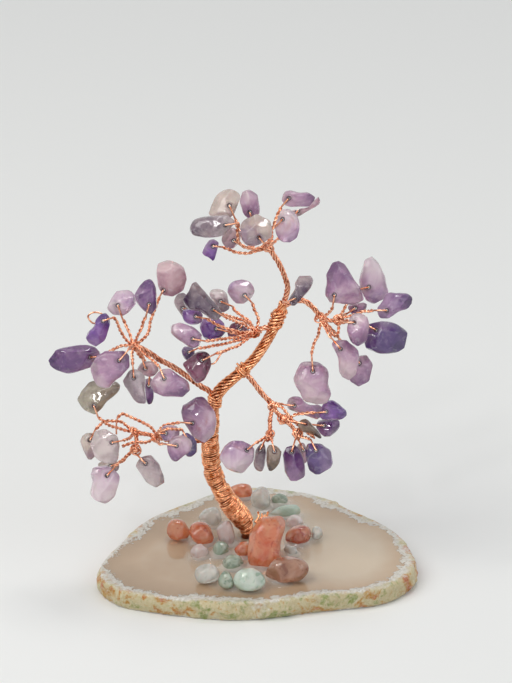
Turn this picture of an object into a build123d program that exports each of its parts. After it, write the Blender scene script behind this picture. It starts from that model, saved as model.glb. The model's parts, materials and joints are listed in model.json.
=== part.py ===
from build123d import *
from dataclasses import dataclass, field
import math
import os

# Gemstone tree ornament: a copper wire tree with amethyst chips on a slice of agate.
# Origin: centre of the slice's underside. +Z is up and -Y is the front.
# Lengths are in millimetres and angles in degrees.

# Slice
slice_width = 95.0
slice_depth = 74.0
slice_thickness = 6.0
slice_face_inset = 1.2
slice_widest_share = 0.45

# Tree
tree_height = 115.0
crown_depth = 40.0
view_tilt = 27.0

# Trunk
trunk_width = 6.0
trunk_foot_radius_gap = 0.35
binding_wire = 0.75
binding_turns = 24
binding_seat_gap = 0.15
binding_start_share = 0.42
binding_end_share = 1.2
collar_radius = 2.0
collar_length = 2.6

# Branches
branch_rope_diameter = 2.0
twig_diameter = 1.3
stem_diameter = 0.85
loop_wire_diameter = 0.4
hub_radius = 1.25
hub_length = 2.3

# Chips
chip_length_share = 0.1478
chip_thickness = 5.2
hole_clearance = 0.3
loop_rise = 0.6
loop_reach = 1.3
swing_loop_rise = 1.1
swing_loop_reach = 2.0
loop_root_depth = 0.5
loop_root_share = 0.125
shoulder_surface_share = 0.85
shoulder_rise_share = 0.8
shoulder_reach_share = 0.4
bend_radius_limit = 6.0
loop_bend_radius = 0.7
bend_run_share = 0.45

# Glue and the stones round the foot
glue_thickness = 1.2
base_stone_thickness = 6.0
base_stone_size_share = 0.98
base_stone_stretch_share = 1.18
cut_overrun = 2.0

# Fineness of the sampled curves
straight_turn = 1.0
length_samples = 600
tangent_step_share = 0.01
heading_step_share = 0.02
gap_samples = 4
parallel_limit = 1e-9

# Places on the picture, in its pixels: u to the right and v downwards
FOOT_U = 246
FOOT_V = 537
TOP_V = 192
SLICE_LEFT_U = 98
SLICE_RIGHT_U = 418
SLICE_BACK_V = 487
SLICE_FRONT_V = 600
LONGEST_CHIP_SPAN = 57.2

tilt_sine = math.sin(math.radians(view_tilt))
tilt_cosine = math.cos(math.radians(view_tilt))
pixel = tree_height * tilt_cosine / (FOOT_V - TOP_V)
chip_length = tree_height * chip_length_share
chip_pixel = chip_length / LONGEST_CHIP_SPAN
hole_diameter = loop_wire_diameter + 2 * hole_clearance
slice_centre_u = (SLICE_LEFT_U + SLICE_RIGHT_U) / 2
slice_centre_v = (SLICE_BACK_V + SLICE_FRONT_V) / 2

right_way = Vector(1, 0, 0)
up_way = Vector(0, tilt_sine, tilt_cosine)
near_way = Vector(0, -tilt_cosine, tilt_sine)


def slice_place(u, v):
    """Return the X and Y on the slice of a place on the picture."""
    across = (u - slice_centre_u) / (SLICE_RIGHT_U - SLICE_LEFT_U) * slice_width
    back = (slice_centre_v - v) / (SLICE_FRONT_V - SLICE_BACK_V) * slice_depth
    return across, back


foot_x, foot_y = slice_place(FOOT_U, FOOT_V)
foot = Vector(foot_x, foot_y, slice_thickness)


def place(u, v, near):
    """Return the point seen at u, v that lies near mm in front of the foot's picture plane."""
    return foot + right_way * ((u - FOOT_U) * pixel) + up_way * ((FOOT_V - v) * pixel) + near_way * near


def near_of(v, back_share):
    """Return how far in front of the picture plane a place lies that is back_share deep."""
    return ((FOOT_V - v) * pixel * tilt_sine - back_share * crown_depth) / tilt_cosine


# Trunk stations: u, v, depth as a share of crown_depth, width as a share of trunk_width
WOUND_STATIONS = [
    (246, 537, 0.00, 0.66), (246.5, 530, 0.00, 0.68), (243, 520, -0.005, 0.96),
    (235.5, 510, -0.01, 1.02),
    (227.5, 500, -0.015, 0.94), (220.5, 488, -0.02, 0.86), (214.5, 475, -0.025, 0.88),
    (212, 465, -0.03, 0.84),
    (211, 455, -0.035, 0.88), (211, 443, -0.04, 0.80), (212, 431, -0.045, 0.66),
    (213.5, 420, -0.05, 0.60),
]
ROPE_STATIONS = [
    (215, 408, -0.055, 0.44), (216, 397, -0.06, 0.62), (222, 388, -0.065, 0.64),
    (232, 379, -0.07, 0.58),
    (243, 370, -0.075, 0.54), (253, 360, -0.08, 0.54), (262, 348, -0.085, 0.54),
    (270, 335, -0.09, 0.52),
    (277, 321, -0.095, 0.50), (281, 310, -0.10, 0.46), (283, 303, -0.10, 0.44),
]


@dataclass
class Branch:
    """One bent branch: its rope, the hubs where its stems part, and their depths."""

    root_back_share: float
    hub_back_share: float
    rope: list
    hubs: dict
    twigs: list = field(default_factory=list)


@dataclass
class Chip:
    """One drilled chip, with the stem that holds it and its outline on the picture."""

    node: str
    branch: str
    hub: str
    layer_share: float
    thickness_share: float
    lean_shares: tuple
    hole: tuple
    stem: list
    outline: list
    swings: bool = False


# The hubs and stems give u, v and a layer, a share of crown_depth in front of the branch's hub plane
BRANCHES = {
    "top": Branch(
        -0.10, -0.105,
        [(284.3, 300.8), (287, 288), (283, 275), (278, 264), (271, 253)],
        {"crown": (268, 249, 0.0)},
    ),
    "right": Branch(
        -0.10, -0.155,
        [(290.2, 303.3), (301, 301), (311, 307), (320, 318)],
        {"first": (320, 318, 0.0), "second": (337, 320, 0.0)},
        [[(320, 318, 0.0), (329, 321, 0.0), (337, 320, 0.0)]],
    ),
    "lower_right": Branch(
        -0.08, -0.13,
        [(247.8, 375.2), (255, 384), (263, 394), (273, 404)],
        {
            "first": (273, 404, 0.0), "second": (283, 418, 0.0), "left": (270, 434, 0.0),
            "right": (297, 433, 0.0),
        },
        [
            [(273, 404, 0.0), (276, 411, 0.01), (283, 418, 0.0)],
            [(273, 404, 0.0), (270, 418, -0.01), (270, 434, 0.0)],
            [(283, 418, 0.0), (291, 425, 0.01), (297, 433, 0.0)],
        ],
    ),
    "middle_left": Branch(
        -0.095, -0.03,
        [(262, 328.6), (259, 330.4), (256, 332)],
        {"first": (256, 332, 0.0)},
    ),
    "upper_left": Branch(
        -0.06, -0.18,
        [(208.5, 390), (200, 385), (188, 376), (175, 367), (162, 360), (150, 352), (138, 345)],
        {"first": (137, 345, 0.0)},
    ),
    "lower_left": Branch(
        -0.04, -0.255,
        [(200, 439.5), (190, 441), (176, 440), (158, 436)],
        {"first": (158, 436, 0.0), "second": (137, 432, 0.0), "low": (137, 448, 0.02)},
        [
            [(158, 436, 0.0), (148, 433, 0.01), (137, 432, 0.0)],
            [(137, 432, 0.0), (138, 440, 0.02), (137, 448, 0.02)],
        ],
    ),
}

CHIPS = [
    Chip("top_chip_1", "top", "crown", -0.12, 0.9, (0.2, -0.2), (230, 208),
         [(257, 251, -0.03), (243, 240, -0.12), (237, 224, -0.12)],
         [(209, 216), (214, 203), (220, 194), (232, 192), (241, 197), (238, 208), (232, 220),
          (218, 222)]),
    Chip("top_chip_2", "top", "crown", 0.03, 0.9, (-0.1, 0.3), (250, 215),
         [(262, 243, 0.02), (254, 229, 0.03)],
         [(241, 197), (247, 193), (255, 194), (259, 203), (260, 213), (257, 221), (251, 224),
          (245, 220), (242, 211)]),
    Chip("top_chip_3", "top", "crown", 0.21, 1.1, (0.1, 0.1), (259, 240),
         [(267, 250, 0.18)],
         [(240, 229), (246, 221), (256, 217), (266, 220), (272, 230), (271, 239), (262, 246),
          (250, 249), (242, 242)]),
    Chip("top_chip_4", "top", "crown", 0.17, 1.1, (0.15, -0.1), (226, 228),
         [(252, 251, 0.05), (238.5, 243, 0.1), (238, 226, 0.17)],
         [(191, 230), (197, 222), (211, 219), (225, 218), (236, 222), (233, 230), (223, 238),
          (208, 240), (194, 237)]),
    Chip("top_small_chips", "top", "crown", 0.02, 0.8, (-0.2, 0.1), (234, 243),
         [(254, 252, 0.01), (245, 250, 0.02)],
         [(223, 237), (230, 230), (238, 232), (241, 241), (238, 247), (230, 251), (223, 246)]),
    Chip("top_small_chips", "top", "crown", -0.06, 0.65, (0.3, 0.1), (214, 248),
         [(252, 254, -0.06), (238, 254, -0.1), (224, 249, -0.08)],
         [(209, 243), (214, 241), (219, 244), (218, 254), (215, 264), (209, 259), (203, 256),
          (205, 249)]),
    Chip("top_chip_5", "top", "crown", 0.17, 0.9, (0.2, 0.2), (288, 202),
         [(269, 240, 0.1), (274, 226, 0.15), (279, 212, 0.17)],
         [(281, 201), (288, 194), (298, 196), (308, 196), (314, 201), (311, 208), (300, 210),
          (288, 210)]),
    Chip("top_small_chips", "top", "crown", -0.15, 0.75, (-0.2, 0.2), (297, 213),
         [(274, 244, -0.08), (285, 233, -0.14), (291, 222, -0.15)],
         [(290, 213), (300, 211), (311, 207), (319, 199), (319, 205), (312, 211), (302, 217),
          (293, 218)]),
    Chip("top_chip_6", "top", "crown", 0.01, 1.0, (0.1, -0.2), (282, 222),
         [(271, 242, 0.01), (272, 232, 0.01)],
         [(275, 218), (281, 211), (290, 212), (298, 221), (299, 231), (295, 241), (286, 246),
          (278, 241), (274, 229)]),
    Chip("trunk_chip", "top", "root", -0.01, 0.9, (0.2, 0.1), (294, 299),
         [(284, 304, -0.01)],
         [(294, 287), (297, 278), (304, 275), (312, 281), (310, 288), (302, 298), (295, 306),
          (288, 308), (289, 298)]),
    Chip("right_chip_1", "right", "first", 0.16, 1.1, (0.1, 0.2), (333, 296),
         [(327, 314, 0.08), (331, 309, 0.16)],
         [(325, 269), (330, 262), (338, 262), (346, 270), (355, 284), (362, 297), (360, 306),
          (344, 305),
          (328, 303), (324, 296), (325, 284)]),
    Chip("right_chip_2", "right", "second", -0.05, 1.1, (-0.2, 0.2), (367, 288),
         [(345, 305, -0.05), (354, 291, -0.05)],
         [(364, 260), (369, 257), (377, 265), (383, 277), (386, 290), (387, 299), (378, 304),
          (363, 302),
          (358, 289), (358, 276)]),
    Chip("right_chip_3", "right", "second", 0.12, 0.9, (-0.2, -0.1), (384, 311),
         [(350, 316, 0.05), (362, 312, 0.09), (371, 311, 0.12)],
         [(387, 293), (398, 294), (409, 297), (410, 306), (397, 312), (379, 319), (374, 312),
          (379, 303)]),
    Chip("right_small_chips", "right", "second", -0.18, 0.65, (0.1, 0.2), (354, 309),
         [(341, 317, -0.1), (345, 315, -0.18)],
         [(347, 306), (356, 304), (366, 305), (363, 311), (356, 315), (348, 313)]),
    Chip("right_chip_4", "right", "second", 0.17, 0.85, (0.1, -0.1), (352, 323),
         [(342, 323, 0.17)],
         [(347, 320), (353, 314), (362, 314), (367, 322), (366, 334), (361, 345), (353, 346),
          (347, 338), (345, 329)]),
    Chip("right_chip_5", "right", "second", -0.07, 1.2, (-0.15, 0.1), (374, 330),
         [(350, 321, -0.03), (363, 324, -0.06)],
         [(367, 323), (377, 321), (390, 323), (402, 329), (407, 338), (403, 348), (392, 353),
          (376, 353),
          (363, 347), (363, 336)]),
    Chip("right_chip_6", "right", "first", 0.12, 1.0, (0.1, 0.1), (339, 349),
         [(324, 329, 0.06), (330, 338, 0.12)],
         [(331, 341), (341, 340), (352, 344), (357, 353), (357, 364), (352, 377), (344, 381),
          (338, 372), (335, 354)]),
    Chip("right_small_chips", "right", "first", -0.09, 0.9, (-0.2, 0.1), (358, 363),
         [(332, 331, -0.04), (342, 344, -0.08), (351, 352, -0.09)],
         [(356, 356), (365, 354), (371, 364), (370, 376), (361, 385), (350, 384), (347, 377),
          (350, 364)]),
    Chip("right_hanging_chip", "right", "first", -0.08, 1.2, (0.1, -0.1), (312, 371),
         [(318, 331, -0.04), (313, 344, -0.08), (311, 356, -0.08)],
         [(297, 366), (305, 361), (318, 362), (327, 371), (327, 383), (330, 391), (327, 401),
          (317, 405),
          (306, 403), (299, 392), (293, 380)], swings=True),
    Chip("lower_right_chip_1", "lower_right", "first", -0.08, 1.0, (0.2, 0.1), (294, 405),
         [(283, 404, -0.08)],
         [(286, 404), (289, 397), (298, 395), (307, 403), (318, 404), (326, 409), (325, 417),
          (310, 417),
          (297, 412), (289, 409)]),
    Chip("lower_right_chip_2", "lower_right", "second", 0.15, 0.9, (-0.2, 0.1), (325, 411),
         [(295, 414, 0.08), (306, 412, 0.15), (314, 412, 0.15)],
         [(318, 409), (323, 402), (330, 399), (339, 404), (346, 412), (343, 418), (333, 419),
          (319, 418)]),
    Chip("lower_right_chip_3", "lower_right", "second", -0.17, 0.9, (0.1, -0.2), (323, 425),
         [(295, 422, -0.12), (307, 424, -0.17), (312, 424, -0.17)],
         [(316, 420), (327, 418), (339, 419), (339, 426), (334, 433), (327, 437), (319, 432),
          (315, 425)]),
    Chip("lower_right_small_chips", "lower_right", "second", 0.06, 0.8, (-0.1, 0.2), (305, 423),
         [(295, 421, 0.06)],
         [(299, 419), (305, 418), (312, 424), (320, 433), (322, 438), (312, 434), (301, 430),
          (297, 425)]),
    Chip("lower_right_chip_4", "lower_right", "left", 0.05, 1.0, (0.2, 0.1), (247, 449),
         [(259, 439, 0.05)],
         [(220, 456), (223, 447), (231, 440), (242, 438), (252, 443), (256, 452), (251, 464),
          (242, 473),
          (231, 470), (223, 463)]),
    Chip("lower_right_small_chips", "lower_right", "left", -0.11, 0.75, (0.1, 0.1), (260, 449),
         [(266, 437, -0.11)],
         [(258, 445), (263, 441), (266, 450), (265, 463), (260, 471), (254, 466), (254, 456)]),
    Chip("lower_right_small_chips", "lower_right", "left", 0.09, 0.8, (-0.1, -0.1), (274, 450),
         [(271, 437, 0.09)],
         [(269, 443), (275, 444), (281, 450), (280, 459), (275, 467), (268, 471), (266, 462),
          (266, 450)]),
    Chip("lower_right_chip_5", "lower_right", "right", -0.07, 1.0, (0.1, 0.1), (291, 451),
         [(295, 438, -0.07)],
         [(282, 453), (285, 446), (292, 443), (299, 448), (303, 459), (305, 470), (300, 480),
          (290, 480), (284, 468)], swings=True),
    Chip("lower_right_chip_6", "lower_right", "right", 0.10, 1.1, (-0.1, 0.1), (315, 449),
         [(304, 436, 0.07), (309, 437, 0.1)],
         [(304, 448), (309, 441), (321, 443), (330, 450), (332, 459), (327, 469), (316, 474),
          (308, 467), (305, 457)]),
    Chip("lower_right_small_chips", "lower_right", "right", -0.21, 0.6, (0.1, 0.1), (303, 449),
         [(298, 439, -0.2)],
         [(298, 443), (303, 442), (306, 449), (307, 458), (308, 465), (303, 462), (300, 453)]),
    Chip("middle_left_chip_1", "middle_left", "first", 0.06, 1.0, (0.1, 0.2), (245, 296),
         [(258, 320, 0.03), (257, 308, 0.06)],
         [(229, 286), (235, 281), (246, 281), (254, 286), (254, 294), (249, 302), (240, 306),
          (232, 300), (228, 293)]),
    Chip("middle_left_small_chips", "middle_left", "first", -0.10, 0.85, (0.2, -0.1), (221, 302),
         [(247, 320, -0.06), (236, 312, -0.1), (231, 306, -0.1)],
         [(210, 292), (217, 289), (225, 292), (229, 299), (228, 312), (222, 313), (214, 302)]),
    Chip("middle_left_chip_2", "middle_left", "first", 0.21, 1.1, (0.1, 0.15), (214, 310),
         [(242, 324, 0.1), (228, 319, 0.21)],
         [(196, 282), (204, 290), (213, 300), (222, 311), (226, 319), (214, 320), (200, 312),
          (188, 309),
          (184, 302), (190, 292)]),
    Chip("middle_left_small_chips", "middle_left", "first", -0.13, 0.8, (-0.1, 0.1), (184, 309),
         [(245, 321, -0.09), (222, 315, -0.2), (204, 312, -0.18), (194, 311, -0.13)],
         [(176, 298), (183, 293), (190, 298), (190, 311), (187, 321), (181, 314), (176, 306)]),
    Chip("middle_left_chip_3", "middle_left", "first", 0.07, 0.75, (0.2, -0.1), (197, 317),
         [(240, 332, 0.06), (222, 327, 0.08), (209, 319, 0.07)],
         [(184, 310), (194, 309), (204, 315), (204, 321), (196, 325), (187, 323), (183, 316)]),
    Chip("middle_left_chip_4", "middle_left", "first", -0.08, 1.0, (-0.1, 0.1), (217, 329),
         [(243, 334, -0.02), (229, 332, -0.08)],
         [(201, 321), (209, 317), (220, 319), (226, 326), (225, 335), (216, 339), (205, 339),
          (201, 331)]),
    Chip("middle_left_small_chips", "middle_left", "first", -0.18, 0.9, (0.1, 0.1), (240, 329),
         [(252, 325, -0.1), (247, 319, -0.18)],
         [(229, 326), (236, 323), (245, 327), (253, 335), (246, 340), (236, 342), (229, 338)]),
    Chip("middle_left_chip_5", "middle_left", "first", 0.22, 1.0, (0.15, 0.1), (194, 339),
         [(237, 337, 0.1), (217, 340, 0.2), (206, 341, 0.22)],
         [(171, 328), (178, 323), (191, 326), (201, 332), (203, 342), (197, 348), (185, 344),
          (175, 336)]),
    Chip("middle_left_small_chips", "middle_left", "first", -0.05, 0.7, (0.1, 0.1), (190, 352),
         [(236, 341, -0.03), (212, 346, -0.05), (199, 348, -0.05)],
         [(184, 347), (191, 346), (196, 351), (193, 358), (187, 360), (183, 354)]),
    Chip("middle_left_chip_6", "middle_left", "first", 0.10, 0.95, (0.1, -0.1), (203, 360),
         [(240, 344, 0.03), (224, 351, 0.09), (213, 355, 0.1)],
         [(184, 363), (191, 357), (199, 351), (208, 352), (212, 362), (207, 376), (200, 384),
          (192, 377), (185, 368)], swings=True),
    Chip("upper_left_chip_1", "upper_left", "first", -0.06, 1.1, (0.1, 0.2), (165, 291),
         [(149, 335, -0.02), (153, 318, -0.06), (158, 303, -0.06)],
         [(160, 264), (168, 261), (179, 264), (188, 273), (186, 287), (180, 298), (168, 299),
          (161, 291), (158, 277)]),
    Chip("upper_left_chip_2", "upper_left", "first", 0.14, 0.9, (-0.2, 0.1), (151, 305),
         [(142, 331, 0.08), (147, 319, 0.14)],
         [(137, 294), (143, 286), (152, 280), (157, 286), (159, 299), (158, 310), (153, 315),
          (145, 311), (139, 303)]),
    Chip("upper_left_chip_3", "upper_left", "first", -0.05, 0.9, (0.2, -0.1), (120, 306),
         [(131, 333, -0.01), (127, 323, -0.05), (124, 318, -0.05)],
         [(108, 311), (112, 301), (120, 291), (131, 291), (139, 298), (136, 308), (127, 315),
          (114, 316)]),
    Chip("upper_left_chip_4", "upper_left", "first", 0.13, 0.9, (0.1, 0.2), (106, 321),
         [(126, 337, 0.04), (119, 322, 0.12), (115, 318, 0.13)],
         [(97, 324), (102, 316), (110, 313), (113, 321), (110, 333), (105, 344), (96, 348), (89, 343),
          (91, 332)]),
    Chip("upper_left_chip_5", "upper_left", "first", -0.04, 1.1, (-0.1, 0.1), (93, 357),
         [(124, 346, -0.01), (113, 351, -0.04), (108, 356, -0.04)],
         [(49, 359), (55, 352), (72, 346), (88, 344), (101, 349), (106, 355), (99, 364), (83, 371),
          (66, 373), (54, 366)]),
    Chip("upper_left_chip_6", "upper_left", "first", 0.20, 1.2, (0.15, 0.1), (122, 360),
         [(132, 348, 0.2)],
         [(93, 363), (99, 356), (112, 350), (125, 350), (133, 357), (130, 370), (119, 380), (110, 388),
          (99, 384), (94, 375)]),
    Chip("lower_left_chip_1", "lower_left", "second", 0.05, 1.1, (0.1, -0.2), (96, 405),
         [(122, 428, 0.0), (109, 423, 0.05), (101, 419, 0.05)],
         [(76, 397), (86, 387), (98, 378), (112, 380), (122, 384), (119, 392), (108, 402), (97, 414),
          (88, 412), (79, 404)]),
    Chip("upper_left_small_chips", "upper_left", "first", 0.10, 1.0, (-0.1, 0.1), (136, 377),
         [(134, 356, 0.07), (135, 365, 0.1)],
         [(125, 378), (130, 371), (139, 368), (147, 376), (147, 390), (148, 404), (139, 401),
          (130, 390)]),
    Chip("upper_left_small_chips", "upper_left", "first", -0.09, 0.8, (0.1, 0.1), (147, 368),
         [(139, 353, -0.05), (144, 359, -0.09)],
         [(139, 367), (146, 361), (156, 362), (161, 368), (156, 375), (147, 376), (140, 372)]),
    Chip("upper_left_small_chips", "upper_left", "first", -0.22, 0.65, (0.1, 0.1), (150, 385),
         [(145, 358, -0.21), (151, 374, -0.22)],
         [(147, 378), (152, 377), (154, 384), (155, 398), (151, 405), (147, 400), (146, 388)]),
    Chip("upper_left_chip_7", "upper_left", "first", 0.15, 1.0, (0.1, 0.1), (166, 378),
         [(150, 356, 0.08), (161, 366, 0.15)],
         [(151, 382), (158, 373), (170, 367), (178, 373), (191, 384), (190, 394), (176, 396),
          (160, 395), (152, 389)]),
    Chip("lower_left_chip_2", "lower_left", "first", 0.08, 1.0, (0.1, -0.1), (193, 422),
         [(165, 425, 0.06), (179, 421, 0.08)],
         [(184, 404), (193, 399), (203, 394), (212, 404), (217, 415), (215, 432), (209, 442),
          (200, 441),
          (189, 428), (182, 414)]),
    Chip("lower_left_small_chips", "lower_left", "first", 0.17, 0.8, (0.1, 0.1), (167, 432),
         [(157, 432, 0.17)],
         [(161, 431), (165, 425), (173, 424), (181, 428), (181, 434), (174, 439), (165, 439)]),
    Chip("lower_left_chip_3", "lower_left", "first", 0.36, 0.9, (0.1, -0.1), (178, 444),
         [(160, 441, 0.28), (165, 442, 0.36)],
         [(169, 443), (173, 436), (183, 434), (193, 440), (193, 448), (185, 455), (176, 460),
          (170, 453)]),
    Chip("lower_left_small_chips", "lower_left", "first", 0.22, 0.75, (0.1, 0.1), (189, 438),
         [(156, 428, 0.24), (168, 425, 0.31), (183, 428, 0.24)],
         [(183, 432), (190, 432), (197, 439), (199, 447), (194, 455), (187, 454), (183, 444)]),
    Chip("lower_left_chip_4", "lower_left", "second", 0.20, 1.0, (0.1, 0.1), (114, 441),
         [(131, 437, 0.14), (126, 439, 0.2)],
         [(92, 438), (99, 429), (110, 428), (119, 435), (122, 446), (118, 461), (106, 461), (96, 454)]),
    Chip("lower_left_small_chips", "lower_left", "second", 0.02, 0.8, (0.1, 0.1), (92, 439),
         [(123, 421, 0.02), (108, 420, 0.02), (98, 427, 0.02)],
         [(82, 441), (88, 432), (95, 430), (98, 440), (99, 457), (94, 460), (86, 451)]),
    Chip("lower_left_small_chips", "lower_left", "low", -0.12, 0.7, (0.1, 0.1), (112, 465),
         [(129, 454, -0.09), (123, 461, -0.12)],
         [(100, 461), (110, 459), (120, 462), (119, 470), (110, 472), (101, 469)]),
    Chip("lower_left_chip_5", "lower_left", "low", 0.05, 1.0, (0.1, 0.1), (109, 474),
         [(128, 455, 0.04), (119, 463, 0.05)],
         [(93, 466), (104, 463), (116, 467), (122, 477), (119, 490), (110, 501), (99, 500), (92, 492),
          (94, 478)]),
    Chip("lower_left_chip_6", "lower_left", "low", 0.02, 0.9, (0.1, 0.1), (147, 462),
         [(138, 453, 0.02)],
         [(137, 463), (143, 456), (152, 453), (159, 459), (164, 472), (166, 481), (157, 486),
          (149, 483), (141, 471)], swings=True),
]

# Stones round the foot: the kind, a thickness share and the outline on the picture
BASE_STONES = [
    ("carnelian", 1.0, [(252, 531), (259, 521), (272, 518), (281, 518), (281, 530), (279, 546),
    (279, 553),
                        (268, 558), (256, 563), (251, 552)]),
    ("carnelian", 0.9, [(190, 532), (196, 523), (203, 523), (211, 530), (210, 540), (203, 541),
    (195, 538)]),
    ("carnelian", 0.8, [(168, 528), (175, 520), (184, 522), (188, 531), (181, 537), (172, 535)]),
    ("carnelian", 0.7, [(229, 490), (238, 486), (249, 488), (248, 497), (240, 497), (232, 494)]),
    ("carnelian", 0.7, [(236, 549), (241, 542), (248, 542), (249, 549), (244, 554), (238, 552)]),
    ("carnelian", 0.8, [(287, 536), (291, 529), (300, 526), (308, 528), (309, 535), (301, 541),
    (291, 541)]),
    ("rose_quartz", 1.0, [(268, 567), (274, 559), (286, 556), (298, 557), (305, 563), (302, 571),
    (290, 576),
                          (276, 576)]),
    ("aventurine", 1.0, [(236, 574), (242, 567), (252, 566), (261, 571), (263, 577), (256, 583),
    (245, 584),
                         (238, 580)]),
    ("aventurine", 0.7, [(224, 558), (231, 554), (239, 555), (242, 560), (235, 565), (227, 565)]),
    ("aventurine", 0.6, [(214, 546), (219, 541), (227, 543), (227, 549), (221, 553), (215, 552)]),
    ("aventurine", 0.6, [(222, 571), (228, 569), (232, 575), (231, 582), (225, 583)]),
    ("clear_quartz", 0.8, [(197, 570), (203, 563), (212, 563), (218, 569), (213, 576), (203, 578)]),
    ("clear_quartz", 0.9, [(200, 517), (206, 510), (215, 509), (220, 515), (217, 523), (207, 524)]),
    ("rose_quartz", 0.9, [(219, 531), (222, 524), (229, 522), (233, 528), (233, 538), (227, 542),
    (221, 538)]),
    ("rose_quartz", 0.7, [(192, 549), (198, 544), (205, 545), (207, 551), (200, 555), (193, 554)]),
    ("clear_quartz", 0.9, [(252, 498), (256, 491), (265, 490), (269, 498), (266, 507), (258, 508)]),
    ("aventurine", 0.6, [(273, 499), (280, 495), (287, 498), (284, 505), (276, 505)]),
    ("aventurine", 0.7, [(272, 513), (278, 508), (290, 506), (299, 508), (296, 515), (283, 516)]),
    ("rose_quartz", 0.9, [(287, 524), (289, 518), (296, 516), (302, 520), (302, 525), (295, 527)]),
    ("clear_quartz", 0.6, [(285, 546), (291, 544), (297, 548), (294, 553), (287, 552)]),
    ("clear_quartz", 0.6, [(312, 532), (317, 527), (322, 531), (318, 537)]),
]

GLUE_OUTLINE = [
    (180, 545), (190, 520), (210, 503), (240, 494), (270, 491), (297, 499), (318, 517), (324, 537),
    (314, 562), (293, 583), (262, 593), (230, 592), (205, 583), (186, 567),
]
SLICE_OUTLINE = [
    (98, 566), (104, 556), (118, 542), (133, 527), (150, 516), (172, 507), (200, 497), (228, 489),
    (258, 487),
    (292, 490), (326, 497), (356, 510), (385, 523), (405, 537), (414, 552), (418, 562), (415, 569),
    (405, 577),
    (385, 585), (350, 590), (310, 594), (255, 600), (200, 599), (150, 593), (112, 585), (101, 577),
]

# A pillow's rings: height as a share of its half thickness, size as a share of its outline
PILLOW_RING_SHARES = [(-1.0, 0.42), (-0.74, 0.80), (0.0, 1.0), (0.74, 0.80), (1.0, 0.42)]


def mean_of(outline):
    """Return the middle of an outline on the picture."""
    return (sum(u for u, v in outline) / len(outline), sum(v for u, v in outline) / len(outline))


def pillow(outline, centre, half_thickness, lean_shares, size):
    """Return a tumbled stone: rings of one outline, drawn in towards the front and the back."""
    middle_u, middle_v = mean_of(outline)
    rings = []
    for height_share, size_share in PILLOW_RING_SHARES:
        points = []
        for u, v in outline:
            across = (u - middle_u) * size * size_share
            up = (middle_v - v) * size * size_share
            near = height_share * half_thickness + lean_shares[0] * across + lean_shares[1] * up
            points.append(centre + right_way * across + up_way * up + near_way * near)
        rings.append(Wire([Spline(*points, periodic=True)]))
    return Solid.make_loft(rings)


def surface_share(reach_share):
    """Return a pillow's half thickness, as a share, at a share of the way out to its edge."""
    rings = [(size_share, height_share) for height_share, size_share in PILLOW_RING_SHARES[2:]]
    rings.sort()
    if reach_share <= rings[0][0]:
        return rings[0][1]
    for (size_low, height_low), (size_high, height_high) in zip(rings, rings[1:]):
        if reach_share <= size_high:
            share = (reach_share - size_low) / (size_high - size_low)
            return height_low + (height_high - height_low) * share
    return 0


def rounded_path(points, radius_limit):
    """Return straight runs joined by tangent arcs, each as large as its runs and the limit allow."""
    kept = [points[0]]
    for here, after in zip(points[1:-1], points[2:]):
        turn = (here - kept[-1]).get_angle(after - here)
        if turn > straight_turn:
            kept.append(here)
    kept.append(points[-1])
    if len(kept) == 2:
        return Wire([Line(kept[0], kept[1])])
    radii = []
    for before, here, after in zip(kept, kept[1:], kept[2:]):
        turn = math.radians((here - before).get_angle(after - here))
        shorter = min((here - before).length, (after - here).length)
        radii.append(min(bend_run_share * shorter / math.tan(turn / 2), radius_limit))
    return Wire(FilletPolyline(*kept, radius=radii).edges())


def tube(points, diameter, radius_limit):
    """Return a round tube along the rounded path through the points."""
    path = rounded_path(points, radius_limit)
    start = Plane(origin=path @ 0, z_dir=path % 0)
    return Solid.sweep(Face(Wire([Edge.make_circle(diameter / 2, start)])), path)


def knot(point, way):
    """Return a short thick knot of wire round a point."""
    return Solid.make_cylinder(hub_radius, hub_length, Plane(point - way * (hub_length / 2), z_dir=way))


def edge_reach(outline, hole, heading, size):
    """Return how far the outline lies from the hole along a heading on the picture, in mm."""
    best = 0
    for (u0, v0), (u1, v1) in zip(outline, outline[1:] + outline[:1]):
        du = u1 - u0
        dv = v1 - v0
        cross = heading[0] * dv - heading[1] * du
        if abs(cross) < parallel_limit:
            continue
        along = ((u0 - hole[0]) * dv - (v0 - hole[1]) * du) / cross
        share = ((u0 - hole[0]) * heading[1] - (v0 - hole[1]) * heading[0]) / cross
        if along > 0 and 0 <= share <= 1:
            best = max(best, along)
    return best * size


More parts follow.
